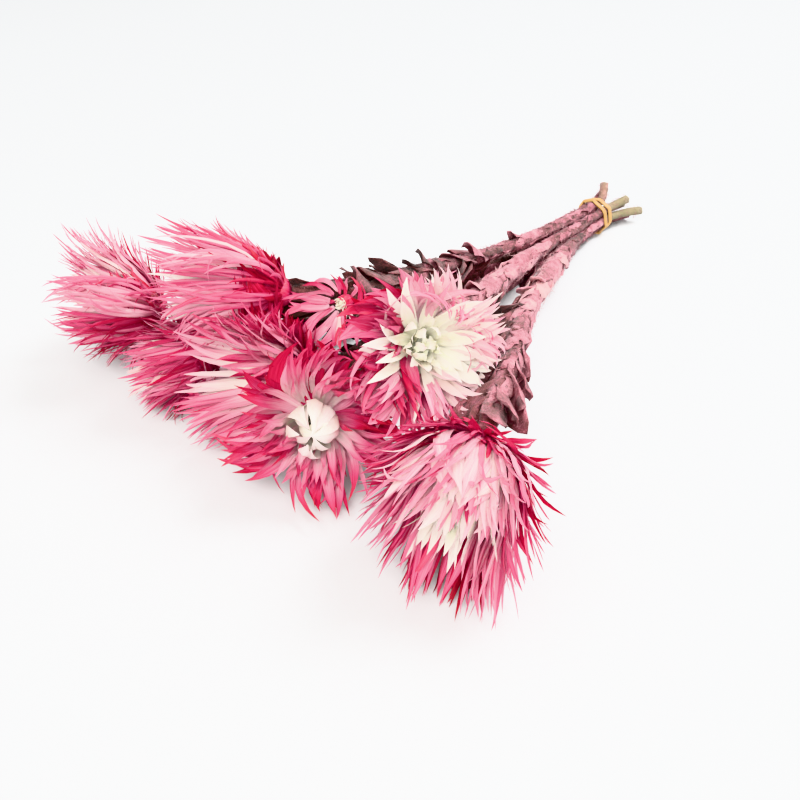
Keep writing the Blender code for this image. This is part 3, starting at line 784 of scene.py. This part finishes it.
def lathe(batch, head, cell, profile, dye):
    """A closed knob round the head's axis: a rod whose rings follow a profile."""
    shape = corners(KNOB)
    high, out = np.array(profile).T
    radius = np.interp(shape[:, 2], np.linspace(0, 1, len(high)), out)
    angle, spread = polar(shape)
    height = np.interp(shape[:, 2], np.linspace(0, 1, len(high)), high)
    points = (head.base + head.around(angle) * (radius * spread)[:, None] * MM
              + head.axis * height[:, None] * MM)
    add_copy(batch, squeezed(points, head.centre, cell, 0.0, 0.9), dye=dye, along=shape[:, 2],
             across=np.sin(3 * angle), shade=0.3)


def add_bract(batch, letter, line, across, back, width, dye, draw):
    head, cell = frames[letter], cells[letter]
    line, first = trimmed(line, head.centre, sides[letter], draw.uniform(0.84, 1.10))
    others = cell[0][1:], cell[1][1:]
    line, second = trimmed(line, head.centre, others, draw.uniform(1.0, 1.25))
    if first * second < STUB:
        return
    width = width * (0.4 + 0.6 * first * second)
    line = squeezed(line, head.centre, cell, draw.uniform(0.3, 2.0) * MM, 0.82)
    points = bent(BRACT, line, across, back, width * BLADE_OUTLINE, PAPER,
                  width * draw.uniform(0.04, 0.30) * BLADE_OUTLINE, draw.gauss(0, 0.5),
                  (width * draw.uniform(0.0, 0.14), draw.uniform(0, 6)))
    points = squeezed(points, head.centre, cell, 0.0, 0.96)
    shape = corners(BRACT)
    add_copy(batch, points, dye=np.broadcast_to(dye, SHARES.shape)[BRACT_RING],
             along=shape[:, 2], across=shape[:, 0], shade=draw.random())


# %% [markdown]
# ## The dyed bracts
#
# First come the bracts of the common plan, one after the other at the golden angle, then the
# head's extra rows. A few bracts stray far out of line, as broken ones do. The smallest head is
# a thin rosette, so it uses fewer ranks and a smaller disc.

# %% The dyed bracts of a head
STRAYS, STRAY_SHARE = (-50, 55), 0.06


def outer_bracts(letter):
    spec, look, head = HEADS[letter], LOOKS[letter], frames[letter]
    draw = random.Random("bracts " + letter)
    made = batch(BRACT, "dye", "along", "across", "shade")
    tufts = [(math.tau * (k + draw.uniform(-0.3, 0.3)) / look["tufts"], draw.gauss(0, 8),
              draw.gauss(0, 0.12), draw.gauss(0, 0.22)) for k in range(look["tufts"])]
    ranks = (0.2, 0.42) if letter == "h" else (0.0, 0.72)
    for k, rank in enumerate(np.linspace(*ranks, look["count"])):
        angle = (GOLDEN * k + draw.gauss(0, 0.12)) % math.tau
        away = [(t[0] - angle + math.pi) % math.tau - math.pi for t in tufts]
        near = min(range(len(tufts)), key=lambda i: abs(away[i]))
        _, lean, shift, sweep = tufts[near]
        lean += draw.gauss(0, 5)
        slants = [at_rank(shut, rank) + (at_rank(wide, rank) - at_rank(shut, rank))
                  * look.get("open", spec["open"]) + lean
                  for shut, wide in zip(SLANT_SHUT, SLANT_OPEN)]
        stray = draw.choice(STRAYS) if draw.random() < STRAY_SHARE else 0
        slants[2] += look["flare"] + draw.gauss(0, 10) + stray
        length = spec["bract"] * MM * at_rank(LENGTH, rank) * draw.uniform(0.78, 1.06)
        short, less = look.get("short", ((0, 0, 1), 0.0))
        length *= 1 - less * max(float(head.around(angle) @ np.array(short)), 0.0)
        swirl = TUFT_PULL * away[near] + sweep + draw.gauss(0, 0.10)
        line, across, back = bract_line(head, slants, length, at_rank(ROOT_OUT, rank),
                                        at_rank(ROOT_HIGH, rank), angle, swirl,
                                        (draw.uniform(0.5, 1.6), draw.random()))
        width = at_rank(WIDTH, rank) * look["wide"] * MM * draw.uniform(0.65, 1.25)
        dye = dye_of(look, rank, head.around(angle), shift, draw)
        add_bract(made, letter, line, across, back, width, dye, draw)
    for count, toward, scatter, length, width, slants, dye in look.get("extra", ()):
        toward = np.array(toward)
        middle = math.atan2(toward @ head.up, toward @ head.side)
        for k in range(count):
            turn = draw.gauss(0, scatter)
            turned = [s + draw.gauss(0, 7) for s in slants]
            line, across, back = bract_line(
                head, turned, length * MM * draw.uniform(0.8, 1.08), 3.8, draw.uniform(2, 7),
                middle + turn, -0.7 * turn + draw.gauss(0, 0.10),
                (draw.uniform(0.5, 1.4), draw.random()))
            levels = np.interp(SHARES, (0.0, 0.5, 1.0), dye) + draw.gauss(0, 0.09)
            add_bract(made, letter, line, across, back, width * MM * draw.uniform(0.7, 1.2),
                      np.clip(levels, 0.0, 1.0), draw)
    knob = batch(KNOB, "dye", "along", "across", "shade")
    wide = 0.5 if letter == "h" else 1.0
    lathe(knob, head, cells[letter], ((0.2, 1.2), (1.0, 4.4 * wide), (3.5, 5.0 * wide),
                                      (3.8 + 2.4 * wide, 4.4 * wide)), 0.75)
    return sown(f"head_{letter}_bracts", [made, knob], PINK_PAPER)


print("extra rows:", {name: len(look.get("extra", ())) for name, look in LOOKS.items()})


# %% [markdown]
# ## The heart
#
# The undyed bracts stand in a few rows round the closed middle. In an open heart they lean out,
# and in a closed one their tips bend back over it.

# %% The heart of a head
def heart(letter):
    look, head = LOOKS[letter], frames[letter]
    draw = random.Random("heart " + letter)
    made = batch(BRACT, "dye", "along", "across", "shade")
    for count, out, high, length, width, slants, scatter, dye in look["heart"]:
        for k in range(count):
            angle = GOLDEN * k + draw.gauss(0, 0.15)
            lean = draw.gauss(0, scatter)
            turned = [s + lean for s in slants]
            turned[2] += draw.gauss(0, 1.5 * scatter)
            line, across, back = bract_line(
                head, turned, length * MM * draw.uniform(0.8, 1.08), out, high, angle,
                draw.gauss(0, 0.15), (draw.uniform(0.5, 1.4), draw.random()))
            add_bract(made, letter, line, across, back, width * MM * draw.uniform(0.7, 1.2),
                      dye + draw.gauss(0, 0.04) + 0.10 * SHARES**3, draw)
    knob = batch(KNOB, "dye", "along", "across", "shade")
    top, wide = (4.8, 0.55) if letter == "h" else (12.0, 1.0)
    lathe(knob, head, cells[letter], ((top - 4.4, 3.0 * wide), (top - 2.4, 4.0 * wide),
                                      (top - 0.8, 3.2 * wide), (top, 1.0)), 0.06)
    return sown(f"head_{letter}_heart", [made, knob], CREAM_PAPER)


print("bracts of a heart:", {name: sum(r[0] for r in v["heart"]) for name, v in LOOKS.items()})


# %% [markdown]
# ## All eight heads
#
# Each finished piece rides on the one rigid body and replaces its solid.

# %% Grow every head
for letter in HEADS:
    pieces = outer_bracts(letter), heart(letter)
    for piece, part, name in zip(pieces, ("bracts", "heart"), ("pink_bracts", "cream_bracts")):
        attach(piece, "root")
        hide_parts(f"bloom_{letter}_{part}")
    print("head", letter, "faces:", [len(o.data.polygons) for o in pieces])

# %% [markdown]
# ## Felted stems
#
# A stem is a rod laid along its route. Small leaves are wrapped round it, their points towards
# the head, and a few stand off and curl. Short fibres of wool lie over everything. The leaves
# that stand off lie where the imported model has them, found by the same draws; a few more are
# listed one by one where the photo shows them.

# %% Places on a stem
LEAF_SHARES = rings_of(LEAF)[0]


class StemFrame:
    """A stem's route with its radius: where a share of the way lies, and which way it runs."""

    def __init__(self, letter):
        self.route, self.radius = routes[letter], radii[letter]
        self.at = along_route(self.route)
        self.length = np.linalg.norm(np.diff(self.route, axis=0), axis=1).sum()

    def place(self, share):
        return np.stack([np.interp(share, self.at, self.route[:, k]) for k in range(3)], axis=-1)

    def thick(self, share):
        return np.interp(share, self.at, self.radius)

    def ways(self, share):
        """The run of the stem, and the directions towards -X and up across it."""
        run = self.place(np.asarray(share) + 0.012) - self.place(np.asarray(share) - 0.012)
        run /= np.linalg.norm(run, axis=-1, keepdims=True)
        side = np.cross(run, (0.0, 0.0, 1.0))
        side /= np.linalg.norm(side, axis=-1, keepdims=True)
        return run, side, np.cross(side, run)

    def outward(self, share, turn):
        run, side, up = self.ways(share)
        turn = np.asarray(turn)[..., None]
        return run, side * np.cos(turn) + up * np.sin(turn)


stems = {name: StemFrame(name) for name in HEADS}
print("stem lengths in mm:", {name: round(stem.length / MM) for name, stem in stems.items()})

# %% [markdown]
# ## Leaves that stand off
#
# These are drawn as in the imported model: each stem tries places along its leafy part, and a leaf
# stays only where it is clear of the other stems, every head, the surface and other leaves.

# %% Find the leaves that stand off
LEAFY_FROM, LEAFY_SPAN, LEAF_TURN, LEAF_LENGTH = 0.42, 0.55, 2.4, 17.0 * MM
LEAF_TRIES, LEAVES = 48, 7
SURFACE_ROOM, STEM_ROOM, LEAF_ROOM = 1.6 * MM, 2.6 * MM, 4.5 * MM
OWN_HEAD_ROOM, HEAD_ROOM = 3.0 * MM, 5.0 * MM


def standing_line(stem, share, turn, length, spread, shares):
    """The middle line of a leaf that leaves the stem, curls away from it, then back."""
    root, ahead = stem.place(share), stem.place(share + 0.02)
    run = (ahead - root) / np.linalg.norm(ahead - root)
    side = np.cross(run, (0.0, 0.0, 1.0))
    side /= np.linalg.norm(side)
    out = side * math.cos(turn) + np.cross(side, run) * math.sin(turn)
    slant = spread * (0.35 + 1.1 * shares - 0.75 * shares**2)
    step = length * np.diff(shares, prepend=0.0)
    along = np.cumsum(np.cos(slant) * step)
    away = float(stem.thick(share)) * 0.45 + np.cumsum(np.sin(slant) * step)
    line = root + run * along[:, None] + out * away[:, None]
    return line, np.cross(run, out), out * np.cos(slant)[:, None] - run * np.sin(slant)[:, None]


def clear_of(points, letter, taken):
    """Whether a leaf stays clear of the other stems, every head, the ground and other leaves."""
    if points[:, 2].min() < SURFACE_ROOM:
        return False
    for other in HEADS:
        away = np.linalg.norm(points[:, None] - routes[other][None], axis=2) - radii[other]
        if other != letter and away.min() < STEM_ROOM:
            return False
    for other, head in frames.items():
        spec = HEADS[other]
        height = (points - head.base) @ head.axis
        out = np.linalg.norm(points - head.base - height[:, None] * head.axis, axis=1)
        margin = OWN_HEAD_ROOM if other == letter else HEAD_ROOM
        wide = spec["reach"] * MM * np.clip(0.55 + height / (spec["bract"] * MM), 0.0, 1.1)
        inside = (height > -margin) & (height < spec["bract"] * MM + margin)
        if (inside & (out < wide + margin)).any():
            return False
    return not any(np.linalg.norm(points[:, None] - other[None], axis=2).min() < LEAF_ROOM
                   for owner, other in taken if owner != letter)


def packed_leaves():
    """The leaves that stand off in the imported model: (stem, share, turn, length, spread)."""
    found, taken = [], []
    shares = np.array((0.0, 0.35, 0.7, 1.0))
    for letter, stem in stems.items():
        draw = random.Random("stem " + letter)
        turn, count = draw.uniform(0.0, math.tau), 0
        for k in range(LEAF_TRIES):
            share = LEAFY_FROM + LEAFY_SPAN * (k * 0.618 % 1.0)
            turn += LEAF_TURN
            length = LEAF_LENGTH * draw.uniform(0.7, 1.1)
            spread = math.radians(draw.uniform(24, 48))
            line = standing_line(stem, share, turn, length, spread, shares)[0]
            if count < LEAVES and clear_of(line[1:], letter, taken):
                found.append((letter, share, turn, length, spread))
                taken.append((letter, line))
                count += 1
    return found


STANDING = packed_leaves()
print("leaves that stand off, as packed:", len(STANDING))

# %% [markdown]
# ## Felt
#
# The stems and their leaves are covered in fine wool that lies down in drying, so they look
# matt, lumpy and soft-edged. The colour runs from a pale rose to a dark purple brown: each leaf
# has its own tone, and soft noise varies it. A sheen gives the light edge of felt.

# %% Felt material
def felt_material():
    made, tree, shader = new_material("felted rose leaves")
    place = node(tree, "ShaderNodeTexCoord").outputs["Object"]
    parts = []
    for scale, detail, share in ((260.0, 4.0, 1.1), (1900.0, 3.0, 0.8)):
        noise = math_node(tree, "SUBTRACT", noise_at(tree, place, scale, detail), 0.5)
        parts.append(math_node(tree, "MULTIPLY", noise, share))
    rough = math_node(tree, "ADD", *parts)
    # The tone mark holds each piece's own tone, with painted light half way on stems a and b and
    # painted shade on the stems near the heads.
    colour = ramp_on(tree, math_node(tree, "ADD", mark(tree, "tone"), rough), (
        (0.0, (212, 172, 172)), (0.25, (178, 124, 134)), (0.5, (130, 76, 86)),
        (0.75, (92, 56, 56)), (1.0, (48, 29, 28))))
    pith = node(tree, "ShaderNodeMixRGB")
    tree.links.new(mark(tree, "pith"), pith.inputs["Fac"])
    tree.links.new(colour, pith.inputs["Color1"])
    pith.inputs["Color2"].default_value = linear(112, 108, 80)
    tree.links.new(pith.outputs["Color"], shader.inputs["Base Color"])
    shader.inputs["Roughness"].default_value = 0.95
    shader.inputs["Specular IOR Level"].default_value = 0.15
    shader.inputs["Sheen Weight"].default_value = 0.12
    shader.inputs["Sheen Roughness"].default_value = 0.6
    add_bump(tree, shader, rough, 0.8, 0.0005)
    return made


FELT = felt_material()
print("nodes of the felt:", len(FELT.node_tree.nodes))

# %% [markdown]
# ## Leaves, rod and wool
#
# A stem's tone changes along it. It is dusky at the tie, and paler half way on the two stems that
# lie in the light, which is painted light. At the heads it is dark, partly from the leaves' own
# purple brown and partly as painted shade where the stems pass between the heads. TONE_AND_SHADE
# holds those three values for each stem. Past the tie some tails have lost their wool and show
# grey green.
#
# Many small leaves hug the rod, each turned by the golden angle from the last. The leaves listed
# one by one are written as share of the way, turn round the stem, length, spread, width and tone,
# with the turns and spreads in degrees and the lengths in millimetres.

# %% Leaves, rod and wool
# Painted light and shade: the pale middle values of a and b stand for light on those stems, and
# the dark values at the heads are partly painted shade between the heads.
TONE_AND_SHADE = {"a": (0.62, 0.10, 0.52), "b": (0.66, 0.28, 0.40), "c": (0.64, 0.48, 1.05),
        "d": (0.60, 0.54, 1.05), "e": (0.62, 0.58, 0.78), "f": (0.66, 0.62, 1.0),
        "g": (0.78, 0.62, 1.0), "h": (0.56, 0.52, 0.74)}
GREEN_TAIL = {"a": 0.85, "b": 0.8, "d": 0.7, "h": 0.5}
LEAF_OUTLINE = np.interp(LEAF_SHARES, (0, 0.3, 0.6, 0.85, 1.0), (0.75, 1.0, 1.0, 0.78, 0.0))
TONE_PLACES = (0.12, 0.42, 0.75)
WRAPPED, FIBRES = 46, 1900
LEAF_THICKNESS, WOOL = 0.5 * MM, 0.11 * MM
STANDING_WIDTH, STANDING_CUP, BY_HAND_CUP = 6.4 * MM, 0.9 * MM, 2.6 * MM
# The last column is each leaf's tone. The darkest leaves, near the heads, are partly painted shade
# where the stems lie in shadow between the heads.
BY_HAND = {
    "a": ((0.8, 190, 22, 30, 11, 0.5), (0.86, 205, 24, 36, 11, 0.52),
          (0.84, 170, 24, 26, 11, 0.46), (0.9, 150, 22, 34, 10, 0.58),
          (0.93, 120, 20, 30, 10, 0.66), (0.74, 200, 20, 22, 10, 0.42),
          (0.49, 350, 14, 30, 9, 0.8), (0.57, 25, 20, 44, 10, 0.86),
          (0.6, 340, 23, 38, 12, 0.78), (0.67, 10, 16, 52, 10, 0.84),
          (0.7, 330, 24, 34, 13, 0.8), (0.79, 20, 18, 30, 11, 0.82),
          (0.89, 350, 24, 36, 13, 0.7), (0.93, 320, 17, 46, 12, 0.75),
          (0.82, 0, 24, 42, 13, 0.8)),
    "b": ((0.5, 215, 18, 26, 9, 0.78), (0.56, 240, 18, 30, 9, 0.85),
          (0.62, 220, 16, 30, 9, 0.8), (0.6, 80, 15, 34, 9, 0.2), (0.6, 170, 13, 40, 8, 0.22),
          (0.6, 300, 13, 40, 8, 0.25)),
    "c": ((0.28, 150, 24, 12, 9, 0.55), (0.36, 200, 24, 14, 9, 0.6),
          (0.44, 100, 24, 12, 9, 0.72), (0.22, 210, 22, 24, 8, 0.62),
          (0.6, 90, 26, 12, 12, 0.92), (0.7, 120, 26, 14, 12, 0.96), (0.8, 80, 24, 14, 11, 0.9),
          (0.88, 120, 24, 30, 13, 1), (0.93, 160, 22, 36, 13, 1), (0.84, 60, 24, 30, 13, 1)),
    "d": ((0.3, 180, 26, 14, 9, 0.58), (0.4, 120, 24, 14, 9, 0.66),
          (0.66, 80, 26, 10, 12, 0.95), (0.74, 110, 26, 14, 12, 0.9),
          (0.82, 60, 24, 16, 12, 0.96), (0.88, 100, 24, 30, 13, 1), (0.93, 60, 22, 40, 13, 1),
          (0.9, 170, 22, 34, 13, 1)),
    "e": ((0.44, 60, 26, 14, 10, 0.66), (0.54, 85, 24, 10, 10, 0.84),
          (0.7, 70, 24, 8, 10, 0.78), (0.84, 80, 22, 12, 11, 0.84), (0.9, 40, 20, 16, 9, 0.86),
          (0.93, 300, 20, 36, 13, 1), (0.88, 270, 22, 30, 13, 1)),
    "h": ((0.56, 80, 22, 16, 11, 0.6), (0.5, 95, 17, 36, 9, 0.42), (0.68, 90, 24, 8, 10, 0.72),
          (0.33, 70, 13, 36, 5, 0.5), (0.86, 80, 20, 34, 13, 0.82),
          (0.92, 100, 17, 44, 12, 0.76), (0.9, 330, 16, 40, 12, 1),
          (0.93, 200, 14, 44, 10, 0.9)),
    "g": ((0.62, 90, 26, 14, 12, 0.95), (0.74, 70, 26, 16, 12, 0.98),
          (0.84, 60, 22, 18, 10, 0.92)),
    "f": ((0.66, 80, 26, 16, 12, 0.92), (0.76, 60, 26, 14, 12, 0.95),
          (0.85, 80, 24, 18, 10, 0.88)),
}


def tone_at(letter, share):
    """How dark a stem is at a share of the way from the tie to its head: its own tone, paler half
    way on stems a and b as painted light, and darker at the heads partly as painted shade.
    """
    return np.interp(share, TONE_PLACES, TONE_AND_SHADE[letter])


def add_rod(batch, letter, stem, draw):
    shape = corners(ROD)
    angle, spread = polar(shape)
    share = stem.at[0] + (1.0 - stem.at[0]) * shape[:, 2]
    run, out = stem.outward(share, angle)
    lump = 0.06 * np.sin(7 * angle + 60 * share + draw.random()) * (spread > 0.99)
    points = stem.place(share) + out * (stem.thick(share) * spread * (0.86 + lump))[:, None]
    end = (shape[:, 2] < 0.001) & (spread < 0.9)
    tail = np.clip(-share / 0.02, 0.0, 1.0) * GREEN_TAIL.get(letter, 0.0)
    add_copy(batch, points, tone=tone_at(letter, share) + 0.15 * (share > 0.02),
             pith=np.maximum(end, tail))


def add_leaf(batch, line, across, out, width, cup, tone, draw):
    points = bent(LEAF, line, across, out, width * LEAF_OUTLINE, LEAF_THICKNESS,
                  cup * LEAF_OUTLINE, draw.gauss(0, 0.35),
                  (draw.uniform(0.5, 1.3) * MM, draw.uniform(0, 6)))
    edge = np.abs(corners(LEAF)[:, 0]) > 0.9
    add_copy(batch, points, tone=tone - 0.14 * edge, pith=0.0)


def wrapped_leaves(batch, letter, stem, draw):
    for k in range(WRAPPED):
        share = -0.02 + 0.95 * (k + draw.uniform(-0.3, 0.3)) / WRAPPED
        length = draw.uniform(11, 22) * MM
        shares = share + length / stem.length * LEAF_SHARES
        run, out = stem.outward(shares, GOLDEN * k + draw.gauss(0, 0.2))
        thick = stem.thick(shares)
        lift = np.interp(LEAF_SHARES, (0, 0.3, 1), (0.80, 0.96, draw.uniform(0.90, 1.04)))
        line = stem.place(shares) + out * (thick * lift)[:, None]
        add_leaf(batch, line, np.cross(run, out), out, thick * draw.uniform(1.5, 2.1),
                 thick * 0.45, tone_at(letter, share) + draw.gauss(0, 0.12), draw)


def wool(batch, letter, stem, draw):
    shares, ring = rings_of(FIBRE)
    for _ in range(FIBRES):
        share, turn = draw.uniform(stem.at[0], 0.98), draw.uniform(0, math.tau)
        run, out = stem.outward(share, turn)
        across = np.cross(run, out)
        way = run * draw.uniform(-0.2, 1.0) + across * draw.gauss(0, 0.7) + out * 0.25
        way /= np.linalg.norm(way)
        length = draw.uniform(0.8, 2.4) * MM
        start = stem.place(share) + out * stem.thick(share) * draw.uniform(0.95, 1.1)
        line = (start + way * (shares * length)[:, None]
                - out * (0.5 * shares**2 * length * draw.uniform(-0.6, 0.8))[:, None])
        points = bent(FIBRE, line, np.broadcast_to(across, line.shape), out,
                      WOOL * (1 - 0.6 * shares), WOOL)
        add_copy(batch, points, tone=tone_at(letter, share) - 0.1 + draw.gauss(0, 0.16), pith=0.0)


print("leaves set by hand:", {name: len(rows) for name, rows in BY_HAND.items()})


# %% [markdown]
# ## All eight stems
#
# A stem's rod, its leaves and its wool are sown into one mesh, so that it stays one piece.

# %% Dress every stem
for letter, stem in stems.items():
    draw = random.Random("felt " + letter)
    rod, leaves, fibres = (batch(p, "tone", "pith") for p in (ROD, LEAF, FIBRE))
    add_rod(rod, letter, stem, draw)
    wrapped_leaves(leaves, letter, stem, draw)
    for owner, share, turn, length, spread in STANDING:
        if owner == letter:
            line, across, out = standing_line(stem, share, turn, length, spread, LEAF_SHARES)
            add_leaf(leaves, line, across, out, STANDING_WIDTH, STANDING_CUP,
                     tone_at(letter, share) + 0.12, draw)
    # A leaf's last value is its tone, which is partly painted shade near the heads.
    for share, turn, length, spread, width, dark_and_shade in BY_HAND[letter]:
        line, across, out = standing_line(stem, share, math.radians(turn), length * MM,
                                          math.radians(spread), LEAF_SHARES)
        add_leaf(leaves, line, across, out, width * MM, BY_HAND_CUP, dark_and_shade, draw)
    wool(fibres, letter, stem, draw)
    made = sown(f"felted_stem_{letter}", [rod, leaves, fibres], FELT)
    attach(made, "root")
    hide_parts(f"stem_{letter}")
    print("stem", letter, "faces:", len(made.data.polygons))

# %% [markdown]
# ## The rubber band
#
# The band goes twice round the bundle, and its two strands cross. Round a bundle of rods a
# taut band makes an arc at each outer rod and a straight line between, which is what the loop
# below finds: at each angle it takes the rod that reaches furthest out that way.

# %% Rubber and its loop
SECTION = 0.2


def rubber():
    made, tree, shader = new_material("yellow rubber")
    noise = noise_at(tree, node(tree, "ShaderNodeTexCoord").outputs["Object"], 300.0, 2.0)
    colour = ramp_on(tree, noise, ((0.3, (158, 116, 62)), (0.7, (190, 148, 90))))
    tree.links.new(colour, shader.inputs["Base Color"])
    shader.inputs["Roughness"].default_value = 0.5
    shader.inputs["Subsurface Weight"].default_value = 0.1
    return made


def loop_pattern(steps):
    """A ring with a round section, spun about Z."""
    bm = bmesh.new()
    bmesh.ops.create_circle(bm, segments=10, radius=SECTION)
    bmesh.ops.rotate(bm, verts=bm.verts, matrix=Matrix.Rotation(math.pi / 2, 3, "X"))
    bmesh.ops.translate(bm, verts=bm.verts, vec=(1, 0, 0))
    bmesh.ops.spin(bm, geom=bm.verts[:] + bm.edges[:], cent=(0, 0, 0), axis=(0, 0, 1),
                   angle=math.tau, steps=steps, use_merge=True)
    bmesh.ops.remove_doubles(bm, verts=bm.verts, dist=1e-5)
    bmesh.ops.recalc_face_normals(bm, faces=bm.faces)
    return as_mesh(bm, "loop")


LOOP = loop_pattern(160)
print("faces of the loop:", len(LOOP.polygons))

# %% [markdown]
# ## Winding it
#
# Both strands are the same loop, swung to opposite sides along the stems, so they cross twice.
# One rides over the other where they cross. The section is squarer than a circle, as cut rubber
# is.

# %% Wind the band
WINDING_START, SQUARENESS = 0.6, 0.6
RIDE_HEIGHT, RIDE_SPREAD = 0.5 * MM, 0.25


def squarer(v):
    return np.sign(v) * np.abs(v) ** SQUARENESS


slots = np.array([stem_slot(spec) for spec in HEADS.values()])
shape = corners(LOOP)
angle, spread = polar(shape)
outward, sideways = (spread - 1) / SECTION, shape[:, 2] / SECTION
out = np.stack((np.cos(angle), np.zeros_like(angle), np.sin(angle)), axis=1)
corner = slots[(out @ slots.T).argmax(axis=1)]
strands = batch(LOOP)
middle = BAND_REACH - BAND_THICKNESS / 2
swung = np.cos(angle - WINDING_START)
for way in (1, -1):
    ride = RIDE_HEIGHT * (way > 0) * np.exp(-(swung / RIDE_SPREAD) ** 2)
    places = corner + out * (middle + ride + squarer(outward) * BAND_THICKNESS / 2)[:, None]
    places[:, 1] += way * BAND_SWING * swung + squarer(sideways) * BAND_WIDTH / 2
    add_copy(strands, places)
tie = sown("rubber_tie", [strands], rubber())
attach(tie, "root")
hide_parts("tie")
print("band faces:", len(tie.data.polygons))

# %% [markdown]
# ## Floor and light
#
# The bunch lies on a plain pale surface. A broad lamp behind gives the soft shadow that falls
# towards the camera, and a second one in front opens the shadows. The white world fills the rest.
# Strong pinks turn flat where they are too bright, so the view transform is one that keeps their
# hue, and the floor is a light grey that the lamps bring to near white.

# %% Floor and light
def floor_material():
    made, _, shader = new_material("pale floor")
    shader.inputs["Base Color"].default_value = (0.52, 0.53, 0.54, 1.0)
    shader.inputs["Roughness"].default_value = 0.8
    return made


floor_mesh = bpy.data.meshes.new("floor")
bm = bmesh.new()
bmesh.ops.create_grid(bm, x_segments=1, y_segments=1, size=3.0)
bm.to_mesh(floor_mesh)
bm.free()
floor_mesh.materials.append(floor_material())
floor = bpy.data.objects.new("floor", floor_mesh)
bpy.context.scene.collection.objects.link(floor)


def area_light(name, place, aim, size, power, colour=(1.0, 1.0, 1.0)):
    lamp = bpy.data.lights.new(name, "AREA")
    lamp.shape, lamp.size, lamp.energy, lamp.color = "DISK", size, power, colour
    made = bpy.data.objects.new(name, lamp)
    made.location = place
    made.rotation_mode = "QUATERNION"
    made.rotation_quaternion = (Vector(aim) - Vector(place)).to_track_quat("-Z", "Y")
    bpy.context.scene.collection.objects.link(made)
    return made


MIDDLE = (0.0, -0.05, 0.02)
area_light("window", (0.32, 0.48, 0.95), MIDDLE, 0.55, 27.0)
area_light("room", (0.40, -0.74, 0.80), MIDDLE, 1.0, 32.0, (1.0, 0.975, 0.94))
world = bpy.data.worlds.new("studio")
world.use_nodes = True
world.node_tree.nodes["Background"].inputs["Color"].default_value = (1.0, 1.0, 1.0, 1.0)
world.node_tree.nodes["Background"].inputs["Strength"].default_value = 0.75
bpy.context.scene.world = world
bpy.context.scene.view_settings.view_transform = "Khronos PBR Neutral"

# %% [markdown]
# ## Camera
#
# The camera looks down at 36 degrees, from the side of the heads, as in the photo.

# %% Camera
AZIMUTH, ELEVATION, DISTANCE = math.radians(40.5), math.radians(36.0), 0.350
AIM = Vector((11.5 * MM, -47.1 * MM, 0.0))
back = Vector((math.sin(AZIMUTH) * math.cos(ELEVATION), -math.cos(AZIMUTH) * math.cos(ELEVATION),
               math.sin(ELEVATION)))
lens = bpy.data.cameras.new("camera")
lens.lens, lens.sensor_width, lens.clip_start = 45.0, 36.0, 0.01
camera = bpy.data.objects.new("camera", lens)
camera.location = AIM + back * DISTANCE
camera.rotation_mode = "QUATERNION"
camera.rotation_quaternion = (-back).to_track_quat("-Z", "Y")
bpy.context.scene.collection.objects.link(camera)
bpy.context.scene.camera = camera
print("camera at:", [round(c, 3) for c in camera.location])
